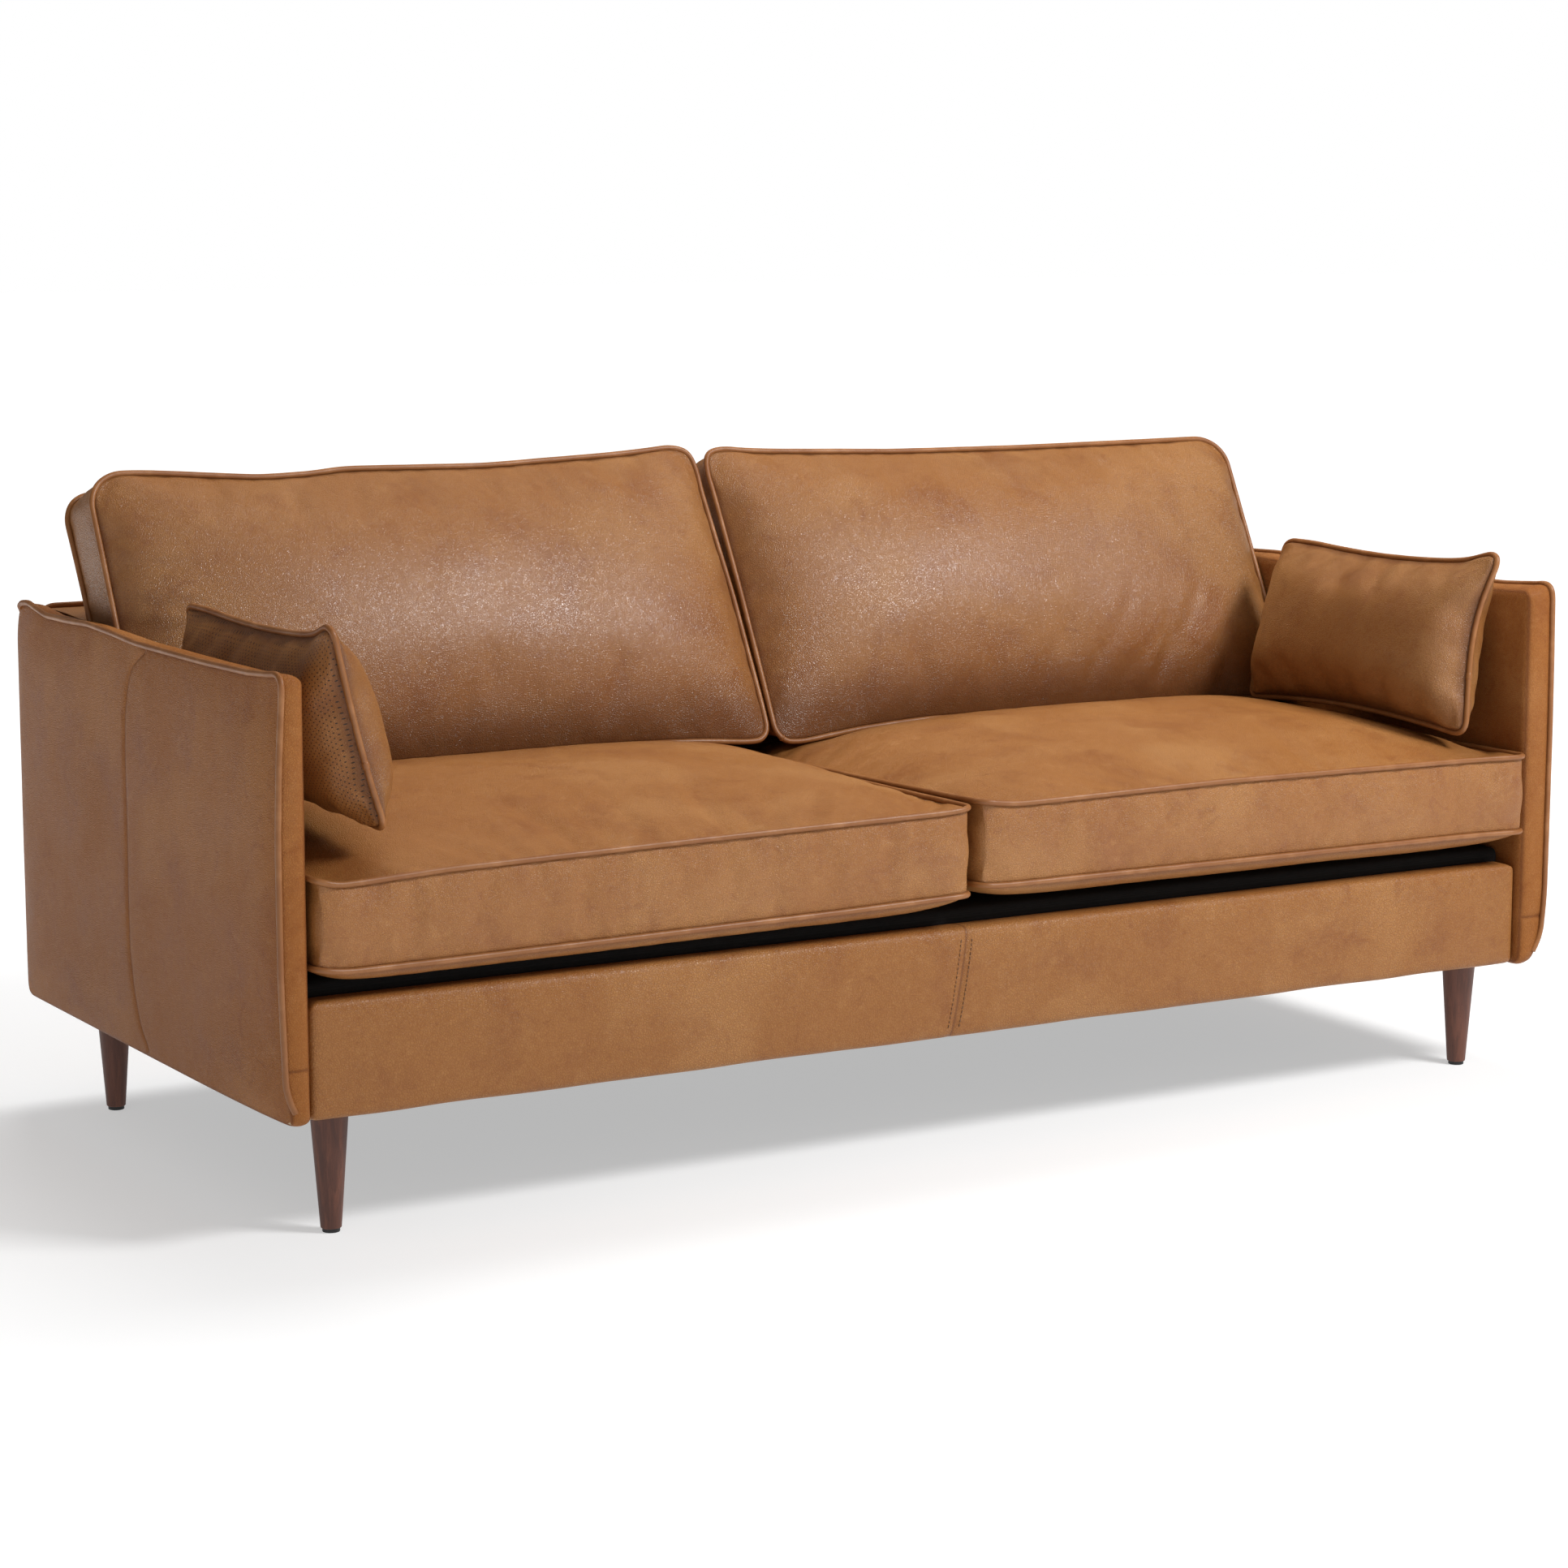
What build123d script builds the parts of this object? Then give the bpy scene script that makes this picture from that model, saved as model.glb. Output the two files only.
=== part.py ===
"""Leather sofa on four turned wooden legs, modelled as the separate pieces that it is assembled from.

Millimetres, +Z up. The origin is on the floor under the middle of the sofa. The front faces -Y, and left and
right are as seen from the front, so left is -X.
"""
from build123d import *
import os
from math import cos, hypot, radians, sin

os.makedirs("parts", exist_ok=True)

# ---- driving dimensions -------------------------------------------------------------------------------------
SIDES = (("left", -1), ("right", 1))
LEATHER = 2.0  # thickness of the hide, with its backing
CORE_GAP = 0.6  # between a cover and what fills it
PIPING_R = 3.5
PIPING_OFF = 3.6  # centre of a cushion's piping outside its wall

# legs and their fixings
LEG_X = 889.0
LEG_FRONT_Y = -380.0
LEG_REAR_Y = 349.0
GLIDE_R = 11.0
GLIDE_H = 5.0
LEG_FOOT_R = 13.0
LEG_HEAD_R = 24.0
LEG_TOP = 153.0
PLATE_T = 3.0
PLATE_SIDE = 50.0
BOLT_R = 3.9
BOLT_HOLE_R = 4.1
BOLT_LOW = 118.0
BOLT_HIGH = 190.0
SCREW_R = 1.5
SCREW_HOLE_R = 1.6
SCREW_SPACING = 40.0

# seat frame
FRAME_LOW = LEG_TOP + PLATE_T
FRAME_HIGH = 290.0
TIMBER_T = 25.0
SEAT_HALF_W = 940.0  # to the inner faces of the arms
RAIL_FRONT_Y = -430.0
RAIL_REAR_Y = 449.0
FRONT_TIMBER_T = 24.0
BLOCK_H = 40.0

# springs and deck
SPRING_WIRE_R = 1.8
SPRING_Z = 294.0
SPRING_HALF_W = 25.0
SPRING_ROWS = 12
SPRING_FRONT_Y = -418.0
SPRING_REAR_Y = 437.0
SPRING_X = (-810, -630, -450, -270, -90, 90, 270, 450, 630, 810)
CLIP_SHIFT = -12.0  # each clip holds the straight end of its spring
DECK_FRONT_Y = -404.0
DECK_REAR_Y = 228.0
DECK_TOP = 317.0

# front rail covering
RAIL_FACE_Y = -441.0
RAIL_BOTTOM = 154.0
RAIL_TOP = 300.0

# arms
ARM_T = 34.0
ARM_FRONT_Y = -449.0
ARM_REAR_Y = 454.0
ARM_BOTTOM = 153.0
ARM_TOP = 688.0
ARM_CORNER_R = 15.0
ARM_PAD = 6.0
ARM_PIPE_OFF = 2.5  # the piping's centre beyond both faces of the edge that it follows
ARM_BOLT_Y = (-250.0, 200.0)
ARM_BOLT_Z = 240.0
ARM_BOLT_END = 965.0

# back
BACK_LOW = 317.0
BACK_TOP = 690.0
BACK_LOW_Y = 232.0
BACK_TOP_Y = 288.0
BACK_REAR_Y = 454.0
BACK_HALF_W = 938.0
RIB_X = (-895, -360, 360, 895)
RIB_T = 20.0
RIB_TOP = 652.0

# seat cushions, each from the middle of the sofa to an arm
SEAT_GAP = 1.0
SEAT_X0 = SEAT_GAP + PIPING_OFF + PIPING_R
SEAT_X1 = SEAT_HALF_W - SEAT_X0 + 0.5
SEAT_Y0 = -460.0 + PIPING_OFF + PIPING_R
SEAT_Y1 = 222.0
SEAT_PIPE_LOW = 347.5
SEAT_PIPE_HIGH = 455.5
SEAT_BELLY = 318.5
SEAT_CROWN = 500.0
SEAT_CORNER_R = 20.0

# back cushions, leaning on the back
LEAN = radians(27.0)
BACK_CUSHION_Y = 79.0  # lower front edge
BACK_CUSHION_Z = 497.0
BACK_CUSHION_H = 436.0
BACK_BOXING = 95.0
BACK_CROWN = 58.0
BACK_BOTTOM_RISE = 28.5  # the underside rises this much from its front edge to its rear edge
BACK_CORNER_TOP = 40.0
BACK_CORNER_LOW = 15.0

# lumbar pillows, leaning on the arms
PILLOW_LEAN = radians(15.0)
PILLOW_X = 862.0
PILLOW_Y = {"left": -200.0, "right": -188.0}
PILLOW_Z = 616.0
PILLOW_L = 470.0
PILLOW_H = 246.0
PILLOW_HALF_T = 66.0
PILLOW_EDGE = 8.0
PILLOW_CORNER_R = 18.0

FACETS = (0.0, 0.12, 0.3, 0.5, 0.7, 0.88, 1.0)  # where the flats of a crowned face meet, across a cushion
LEG_SPOTS = [(x, y) for x in (-LEG_X, LEG_X) for y in (LEG_FRONT_Y, LEG_REAR_Y)]


# ---- helpers ------------------------------------------------------------------------------------------------
def save(piece, name):
    """Label a finished piece and write its own file."""
    piece.part.label = name
    export_step(piece.part, f"parts/{name}.step")


def block(x, y, z, mode=Mode.ADD):
    """A box given by its span along each axis."""
    middle = tuple((span[0] + span[1]) / 2 for span in (x, y, z))
    size = [abs(span[1] - span[0]) for span in (x, y, z)]
    with Locations(middle):
        Box(*size, mode=mode)


def crowned_block(frame, u, v, n, crown, corner_r, inset=0.0):
    """A cushion: a rounded rectangle in the frame's plane, with walls along its normal and two crowned faces.

    Each crown is built of flats, so that the solid is simple.
    u, v and n are spans along the frame's axes, and crown holds the lowest and highest point of the two faces.
    """
    u0, u1 = u[0] + inset, u[1] - inset
    v0, v1 = v[0] + inset, v[1] - inset
    n0, n1 = n[0] + inset, n[1] - inset
    low, high = crown[0] + inset, crown[1] - inset
    across_v = Plane(origin=frame.origin, x_dir=frame.y_dir, z_dir=frame.x_dir)
    across_u = Plane(origin=frame.origin, x_dir=frame.x_dir, z_dir=-frame.y_dir)
    with BuildSketch(frame.offset(low - 20)) as outline:
        with Locations(((u0 + u1) / 2, (v0 + v1) / 2)):
            Rectangle(u1 - u0, v1 - v0)
        fillet(outline.vertices().sort_by(Axis.Y)[:2], corner_r[0] - inset)
        fillet(outline.vertices().sort_by(Axis.Y)[-2:], corner_r[1] - inset)
    extrude(outline.sketch, amount=high - low + 40)
    for plane, a, b in ((across_v, v0, v1), (across_u, u0, u1)):
        upper = [(a + (b - a) * part, n1 + (high - n1) * (1 - (2 * part - 1) ** 2)) for part in FACETS]
        lower = [(a + (b - a) * part, n0 + (low - n0) * (1 - (2 * part - 1) ** 2)) for part in FACETS]
        with BuildSketch(plane) as profile:
            Polygon(*upper, *reversed(lower), align=None)
        extrude(profile.sketch, amount=1500, both=True, mode=Mode.INTERSECT)


def piping(plane, points, radii, closed=True):
    """A round cord along straight runs with rounded corners, in one plane."""
    with BuildLine(plane) as path:
        FilletPolyline(*points, radius=radii, close=closed)
    route = path.wire()
    with BuildSketch(Plane(origin=route @ 0, z_dir=route % 0)) as section:
        Circle(PIPING_R)
    sweep(section.sketch, path=route)


def corners_of(u, v, off=0.0):
    """The four corners of a rectangle given by its spans, moved outwards."""
    u0, u1 = u[0] - off, u[1] + off
    v0, v1 = v[0] - off, v[1] + off
    return [(u0, v0), (u1, v0), (u1, v1), (u0, v1)]


def mirrored(span, side):
    """A span along X on the given side of the middle, low end first."""
    return tuple(sorted(side * value for value in span))


def back_face(z):
    """Y of the leather on the inside of the back, at a height."""
    return BACK_LOW_Y + (z - BACK_LOW) * (BACK_TOP_Y - BACK_LOW_Y) / (BACK_TOP - BACK_LOW)


# ---- legs ---------------------------------------------------------------------------------------------------
for (x, y), name in zip(LEG_SPOTS, ("front_left", "rear_left", "front_right", "rear_right")):
    with BuildPart() as leg:
        with BuildSketch(Plane(origin=(x, y, 0), x_dir=(1, 0, 0), z_dir=(0, -1, 0))):
            Polygon(
                (0, GLIDE_H), (LEG_FOOT_R, GLIDE_H), (LEG_HEAD_R, LEG_TOP), (0, LEG_TOP), align=None
            )
        revolve(axis=Axis((x, y, 0), (0, 0, 1)))
        fillet(leg.edges().group_by(Axis.Z)[0], 1.5)
        with Locations((x, y, LEG_TOP)):
            Hole(radius=BOLT_HOLE_R, depth=LEG_TOP - BOLT_LOW + 1)
        with Locations((x, y, GLIDE_H)):
            Cylinder(2.1, 11, align=(Align.CENTER, Align.CENTER, Align.MIN), mode=Mode.SUBTRACT)
    save(leg, f"leg_{name}")

with BuildPart() as glides:
    with Locations(*[(x, y, 0) for x, y in LEG_SPOTS]):
        Cylinder(GLIDE_R, GLIDE_H, align=(Align.CENTER, Align.CENTER, Align.MIN))
    fillet(glides.edges().group_by(Axis.Z)[0], 1.0)
    with Locations(*[(x, y, 0) for x, y in LEG_SPOTS]):
        Cylinder(2.0, GLIDE_H + 10, align=(Align.CENTER, Align.CENTER, Align.MIN))
save(glides, "leg_glides")

with BuildPart() as plates:
    with Locations(*[(x, y, LEG_TOP + PLATE_T / 2) for x, y in LEG_SPOTS]):
        Box(PLATE_SIDE, PLATE_SIDE, PLATE_T)
        Cylinder(BOLT_HOLE_R, PLATE_T, mode=Mode.SUBTRACT)
        with GridLocations(SCREW_SPACING, SCREW_SPACING, 2, 2):
            Cylinder(SCREW_HOLE_R, PLATE_T, mode=Mode.SUBTRACT)
save(plates, "leg_plates")

with BuildPart() as bolts:
    with Locations(*[(x, y, BOLT_LOW) for x, y in LEG_SPOTS]):
        Cylinder(BOLT_R, BOLT_HIGH - BOLT_LOW, align=(Align.CENTER, Align.CENTER, Align.MIN))
save(bolts, "leg_bolts")

with BuildPart() as screws:
    with Locations(*[(x, y, LEG_TOP) for x, y in LEG_SPOTS]):
        with GridLocations(SCREW_SPACING, SCREW_SPACING, 2, 2):
            Cylinder(SCREW_R, 25, align=(Align.CENTER, Align.CENTER, Align.MIN))
            Cylinder(3.4, 1.8, align=(Align.CENTER, Align.CENTER, Align.MAX))
save(screws, "plate_screws")

# ---- seat frame ---------------------------------------------------------------------------------------------
RAIL_INNER_X = SEAT_HALF_W - TIMBER_T
FRONT_INNER_Y = RAIL_FRONT_Y + FRONT_TIMBER_T
REAR_INNER_Y = RAIL_REAR_Y - FRONT_TIMBER_T


def arm_bolt_holes(side):
    """Cut the way for one arm's bolts through the part being built."""
    start = RAIL_INNER_X - 5
    middle = side * (start + ARM_BOLT_END) / 2
    with Locations(*[Location((middle, y, ARM_BOLT_Z), (0, 90, 0)) for y in ARM_BOLT_Y]):
        Cylinder(BOLT_HOLE_R + 0.1, ARM_BOLT_END - start, mode=Mode.SUBTRACT)


with BuildPart() as front_rail:
    block((-RAIL_INNER_X, RAIL_INNER_X), (RAIL_FRONT_Y, FRONT_INNER_Y), (FRAME_LOW, FRAME_HIGH))
save(front_rail, "seat_front_rail")

with BuildPart() as rear_rail:
    block((-RAIL_INNER_X, RAIL_INNER_X), (REAR_INNER_Y, RAIL_REAR_Y), (FRAME_LOW, FRAME_HIGH))
save(rear_rail, "seat_rear_rail")

with BuildPart() as centre_rail:
    block((-TIMBER_T / 2, TIMBER_T / 2), (FRONT_INNER_Y, REAR_INNER_Y), (FRAME_LOW, FRAME_HIGH - 8))
save(centre_rail, "seat_centre_rail")

for name, side in SIDES:
    with BuildPart() as side_rail:
        block(mirrored((RAIL_INNER_X, SEAT_HALF_W), side), (RAIL_FRONT_Y, RAIL_REAR_Y), (FRAME_LOW, FRAME_HIGH))
        arm_bolt_holes(side)
    save(side_rail, f"seat_side_rail_{name}")

with BuildPart() as blocks:
    for name, side in SIDES:
        for y in ((FRONT_INNER_Y, LEG_FRONT_Y + 45), (LEG_REAR_Y - 49, REAR_INNER_Y)):
            block(mirrored((LEG_X - 46, RAIL_INNER_X), side), y, (FRAME_LOW, FRAME_LOW + BLOCK_H))
    with Locations(*[(x, y, FRAME_LOW + BLOCK_H / 2) for x, y in LEG_SPOTS]):
        Cylinder(BOLT_HOLE_R, BLOCK_H + 1, mode=Mode.SUBTRACT)
        with GridLocations(SCREW_SPACING, SCREW_SPACING, 2, 2):
            Cylinder(SCREW_HOLE_R, BLOCK_H + 1, mode=Mode.SUBTRACT)
save(blocks, "corner_blocks")

# ---- springs and deck ---------------------------------------------------------------------------------------
spring_pitch = (SPRING_REAR_Y - SPRING_FRONT_Y) / (SPRING_ROWS - 1)
with BuildPart() as springs:
    for x in SPRING_X:
        points = []
        for row in range(SPRING_ROWS):
            turn = SPRING_HALF_W if row % 2 else -SPRING_HALF_W
            y = SPRING_FRONT_Y + row * spring_pitch
            points += [(x + turn, y), (x - turn, y)]
        with BuildLine(Plane.XY.offset(SPRING_Z)) as wire:
            FilletPolyline(*points, radius=SPRING_HALF_W - 1)
        with BuildSketch(Plane(origin=wire.wire() @ 0, z_dir=wire.wire() % 0)):
            Circle(SPRING_WIRE_R)
        sweep(path=wire.wire())
save(springs, "seat_springs")

with BuildPart() as clips:
    for y in (SPRING_FRONT_Y, SPRING_REAR_Y):
        with Locations(*[(x + CLIP_SHIFT, y, FRAME_HIGH + 3.9) for x in SPRING_X]):
            Box(18, 13, 7.8)
        with Locations(*[(x + CLIP_SHIFT, y, SPRING_Z) for x in SPRING_X]):
            Box(20, 2 * SPRING_WIRE_R + 0.8, 2 * SPRING_WIRE_R + 0.8, mode=Mode.SUBTRACT)
save(clips, "spring_clips")

with BuildPart() as spring_cloth:
    block((-RAIL_INNER_X, RAIL_INNER_X), (DECK_FRONT_Y, DECK_REAR_Y), (SPRING_Z + 2, SPRING_Z + 3))
save(spring_cloth, "spring_cloth")

with BuildPart() as deck_pad:
    block((-938, 938), (DECK_FRONT_Y + 2, DECK_REAR_Y), (SPRING_Z + 3, DECK_TOP - 2))
save(deck_pad, "seat_deck_pad")

with BuildPart() as deck_cover:
    block((-939, 939), (DECK_FRONT_Y, DECK_REAR_Y), (DECK_TOP - 2, DECK_TOP))
    block((-939, 939), (DECK_FRONT_Y, DECK_FRONT_Y + 2), (SPRING_Z + 3, DECK_TOP - 2))
save(deck_cover, "seat_deck_cover")

with BuildPart() as dust_cover:
    block((-936, 936), (DECK_FRONT_Y, 447), (150, 151))
    with Locations(*[(x, y, 150) for x, y in LEG_SPOTS]):
        Cylinder(LEG_HEAD_R + 0.6, 4, mode=Mode.SUBTRACT)
save(dust_cover, "dust_cover")

# ---- front rail covering ------------------------------------------------------------------------------------
pad_face_y = RAIL_FACE_Y + LEATHER
pad_top = RAIL_TOP - LEATHER


def rail_section(y, z, top_r, low_r):
    """A rectangle across the front rail, rounded at its two front corners."""
    with BuildSketch(Plane.YZ.offset(-939)) as section:
        with Locations(((y[0] + y[1]) / 2, (z[0] + z[1]) / 2)):
            Rectangle(y[1] - y[0], z[1] - z[0])
        fillet(section.vertices().sort_by(lambda p: 9 * p.X - p.Y)[0], top_r)
        fillet(section.vertices().sort_by(lambda p: 9 * p.X + p.Y)[0], low_r)
    return section.sketch


with BuildPart() as rail_padding:
    extrude(rail_section((pad_face_y, RAIL_FRONT_Y), (FRAME_LOW, pad_top), 8.5, 4.5), amount=2 * 939)
save(rail_padding, "front_rail_padding")

with BuildPart() as rail_cover:
    extrude(rail_section((RAIL_FACE_Y, DECK_FRONT_Y), (RAIL_BOTTOM, RAIL_TOP), 10, 6), amount=2 * 939)
    inside = rail_section((pad_face_y, DECK_FRONT_Y + 1), (FRAME_LOW, pad_top), 8, 4)
    extrude(inside, amount=2 * 939, mode=Mode.SUBTRACT)
    block((-940, 940), (FRONT_INNER_Y - 2, DECK_FRONT_Y + 1), (RAIL_BOTTOM - 1, FRAME_LOW + 1), Mode.SUBTRACT)
save(rail_cover, "front_rail_cover")


# ---- arms ---------------------------------------------------------------------------------------------------
def arm_slab(x, y, z, corner_r, mode=Mode.ADD):
    """An upright slab with its two upper corners rounded."""
    with BuildSketch(Plane.YZ.offset(x[0])) as outline:
        with Locations(((y[0] + y[1]) / 2, (z[0] + z[1]) / 2)):
            Rectangle(y[1] - y[0], z[1] - z[0])
        fillet(outline.vertices().sort_by(Axis.Y)[-2:], corner_r)
    extrude(outline.sketch, amount=x[1] - x[0], mode=mode)


def inset_span(span, by):
    """A span made shorter at both ends."""
    return span[0] + by, span[1] - by


ARM_Y = (ARM_FRONT_Y, ARM_REAR_Y)
ARM_X = (SEAT_HALF_W, SEAT_HALF_W + ARM_T)
PAD_IN = LEATHER + ARM_PAD
for name, side in SIDES:
    outer_x = mirrored(ARM_X, side)
    pocket_x = inset_span(outer_x, LEATHER)
    panel_x = inset_span(outer_x, PAD_IN)
    pocket_y = inset_span(ARM_Y, LEATHER)
    panel_y = inset_span(ARM_Y, PAD_IN)

    with BuildPart() as arm_cover:
        arm_slab(outer_x, ARM_Y, (ARM_BOTTOM, ARM_TOP), ARM_CORNER_R)
        pocket_z = (ARM_BOTTOM - 1, ARM_TOP - LEATHER)
        arm_slab(pocket_x, pocket_y, pocket_z, ARM_CORNER_R - LEATHER, Mode.SUBTRACT)
        arm_bolt_holes(side)
    save(arm_cover, f"arm_cover_{name}")

    with BuildPart() as arm_padding:
        arm_slab(pocket_x, pocket_y, (ARM_BOTTOM + 2, ARM_TOP - LEATHER), ARM_CORNER_R - 1)
        arm_slab(panel_x, panel_y, (ARM_BOTTOM, ARM_TOP - PAD_IN), ARM_CORNER_R - PAD_IN, Mode.SUBTRACT)
        arm_bolt_holes(side)
    save(arm_padding, f"arm_padding_{name}")

    with BuildPart() as arm_panel:
        arm_slab(panel_x, panel_y, (FRAME_LOW, ARM_TOP - PAD_IN), ARM_CORNER_R - PAD_IN + 1)
        arm_bolt_holes(side)
    save(arm_panel, f"arm_panel_{name}")

    with BuildPart() as arm_piping:
        y0, y1 = ARM_FRONT_Y - ARM_PIPE_OFF, ARM_REAR_Y + ARM_PIPE_OFF
        low, high = ARM_BOTTOM + 3, ARM_TOP + ARM_PIPE_OFF
        piping(
            Plane.YZ.offset(side * (ARM_X[1] + ARM_PIPE_OFF)),
            [(y0, low), (y0, high), (y1, high), (y1, low)],
            ARM_CORNER_R + ARM_PIPE_OFF,
            closed=False,
        )
    save(arm_piping, f"arm_piping_{name}")

with BuildPart() as arm_bolts:
    for name, side in SIDES:
        for y in ARM_BOLT_Y:
            turned = (0, 90 * side, 0)
            upright = (Align.CENTER, Align.CENTER, Align.MIN)
            with Locations(Location((side * (RAIL_INNER_X - 5), y, ARM_BOLT_Z), turned)):
                Cylinder(7, 5, align=upright)
                Cylinder(BOLT_R, ARM_BOLT_END - RAIL_INNER_X + 4, align=upright)
save(arm_bolts, "arm_bolts")


# ---- back ---------------------------------------------------------------------------------------------------
def back_strip(x, z, depth, mode=Mode.ADD):
    """A slab that follows the slope of the back, between two depths behind its leather face."""
    with BuildSketch(Plane.YZ.offset(x[0])) as section:
        Polygon(
            (back_face(z[0]) + depth[0], z[0]),
            (back_face(z[1]) + depth[0], z[1]),
            (back_face(z[1]) + depth[1], z[1]),
            (back_face(z[0]) + depth[1], z[0]),
            align=None,
        )
    extrude(section.sketch, amount=x[1] - x[0], mode=mode)


BACK_PAD = 8.0
WEBBING_DEPTH = (LEATHER + BACK_PAD + 0.2, LEATHER + BACK_PAD + 2.2)
RIB_DEPTH = WEBBING_DEPTH[1] + 0.2
BACK_PAD_TOP = BACK_TOP - LEATHER

with BuildPart() as ribs:
    for x in RIB_X:
        with BuildSketch(Plane.YZ.offset(x - RIB_T / 2)):
            Polygon(
                (back_face(330) + RIB_DEPTH, 330),
                (back_face(RIB_TOP) + RIB_DEPTH, RIB_TOP),
                (REAR_INNER_Y, RIB_TOP),
                (REAR_INNER_Y, 200),
                (REAR_INNER_Y - 45, 200),
                (REAR_INNER_Y - 45, 330),
                align=None,
            )
        extrude(amount=RIB_T)
save(ribs, "back_ribs")

with BuildPart() as top_rail:
    block((-930, 930), (back_face(BACK_PAD_TOP) + RIB_DEPTH, REAR_INNER_Y), (RIB_TOP, BACK_PAD_TOP - 8))
save(top_rail, "back_top_rail")

with BuildPart() as webbing:
    for low in (370, 470, 570):
        back_strip((-912, 912), (low, low + 60), WEBBING_DEPTH)
save(webbing, "back_webbing")

with BuildPart() as back_padding:
    with BuildSketch(Plane.YZ.offset(-936)):
        Polygon(
            (back_face(BACK_LOW + 2) + LEATHER, BACK_LOW + 2),
            (back_face(BACK_PAD_TOP - 9) + LEATHER, BACK_PAD_TOP - 9),
            (back_face(BACK_PAD_TOP) + LEATHER + 9, BACK_PAD_TOP),
            (BACK_REAR_Y - 4, BACK_PAD_TOP),
            (BACK_REAR_Y - 4, BACK_PAD_TOP - BACK_PAD),
            (back_face(BACK_PAD_TOP - BACK_PAD) + LEATHER + BACK_PAD, BACK_PAD_TOP - BACK_PAD),
            (back_face(BACK_LOW + 2) + LEATHER + BACK_PAD, BACK_LOW + 2),
            align=None,
        )
    extrude(amount=2 * 936)
save(back_padding, "back_padding")


def back_outline(grow, low, corner_r):
    """The back's section: sloping inner face and level top, moved inwards."""
    with BuildSketch(Plane.YZ.offset(-BACK_HALF_W)) as section:
        Polygon(
            (back_face(low) + grow, low),
            (back_face(BACK_TOP - grow) + grow, BACK_TOP - grow),
            (BACK_REAR_Y - LEATHER + grow, BACK_TOP - grow),
            (BACK_REAR_Y - LEATHER + grow, low),
            align=None,
        )
        fillet(section.vertices().sort_by(lambda p: p.X - p.Y)[0], corner_r)
    return section.sketch


with BuildPart() as back_cover:
    extrude(back_outline(0, BACK_LOW, 12), amount=2 * BACK_HALF_W)
    extrude(back_outline(LEATHER, BACK_LOW - 1, 9), amount=2 * BACK_HALF_W, mode=Mode.SUBTRACT)
save(back_cover, "back_cover")

with BuildPart() as rear_panel:
    block((-BACK_HALF_W, BACK_HALF_W), (BACK_REAR_Y - LEATHER, BACK_REAR_Y), (FRAME_LOW, BACK_TOP))
save(rear_panel, "outer_back_panel")

with BuildPart() as back_piping:
    with Locations(Location((0, BACK_REAR_Y + 2.5, BACK_TOP + 2.52), (0, 90, 0))):
        Cylinder(PIPING_R, 2 * 936)
save(back_piping, "back_piping")

# ---- seat cushions ------------------------------------------------------------------------------------------
seat_v = (SEAT_Y0, SEAT_Y1)
seat_n = (SEAT_PIPE_LOW, SEAT_PIPE_HIGH)
seat_crown = (SEAT_BELLY, SEAT_CROWN)
seat_r = (SEAT_CORNER_R, SEAT_CORNER_R)
for name, side in SIDES:
    seat_u = mirrored((SEAT_X0, SEAT_X1), side)

    with BuildPart() as hollow:
        crowned_block(Plane.XY, seat_u, seat_v, seat_n, seat_crown, seat_r, LEATHER)
    with BuildPart() as seat_cover:
        crowned_block(Plane.XY, seat_u, seat_v, seat_n, seat_crown, seat_r)
        add(hollow.part, mode=Mode.SUBTRACT)
    save(seat_cover, f"seat_cushion_cover_{name}")

    with BuildPart() as seat_core:
        crowned_block(Plane.XY, seat_u, seat_v, seat_n, seat_crown, seat_r, LEATHER + CORE_GAP)
    save(seat_core, f"seat_cushion_core_{name}")

    with BuildPart() as seat_piping:
        for z in seat_n:
            route = corners_of(seat_u, seat_v, PIPING_OFF)
            piping(Plane.XY.offset(z), route, SEAT_CORNER_R + PIPING_OFF)
    save(seat_piping, f"seat_cushion_piping_{name}")

    with BuildPart() as seat_zipper:
        middle = (seat_u[0] + seat_u[1]) / 2
        block((middle - 350, middle + 350), (SEAT_Y1 + 0.2, SEAT_Y1 + 1.7), (394, 406))
    save(seat_zipper, f"seat_cushion_zipper_{name}")

# ---- back cushions ------------------------------------------------------------------------------------------
up_lean = Vector(0, sin(LEAN), cos(LEAN))
off_lean = Vector(0, -cos(LEAN), sin(LEAN))
rear_foot = Vector(0, BACK_CUSHION_Y, BACK_CUSHION_Z) - off_lean * BACK_BOXING
lean_plane = Plane(origin=rear_foot, x_dir=(1, 0, 0), z_dir=off_lean)
lean_side = Plane(origin=rear_foot, x_dir=up_lean, z_dir=(1, 0, 0))
bottom_slope = BACK_BOTTOM_RISE / BACK_BOXING
back_v = (0, BACK_CUSHION_H)
back_n = (2, BACK_BOXING)
back_crown = (0, BACK_BOXING + BACK_CROWN)
back_r = (BACK_CORNER_LOW, BACK_CORNER_TOP)


def back_cushion(u, inset=0.0):
    """A leaning cushion whose underside is cut to rest on the seat cushion."""
    crowned_block(lean_plane, u, back_v, back_n, back_crown, back_r, inset)
    lift = inset * hypot(1, bottom_slope)
    with BuildSketch(lean_side.offset(u[0] - 5)) as wedge:
        Polygon(
            (-60, -60),
            (bottom_slope * (BACK_BOXING + 60) + lift, -60),
            (-bottom_slope * 60 + lift, BACK_BOXING + 60),
            (-60, BACK_BOXING + 60),
            align=None,
        )
    extrude(wedge.sketch, amount=u[1] - u[0] + 10, mode=Mode.SUBTRACT)


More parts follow.
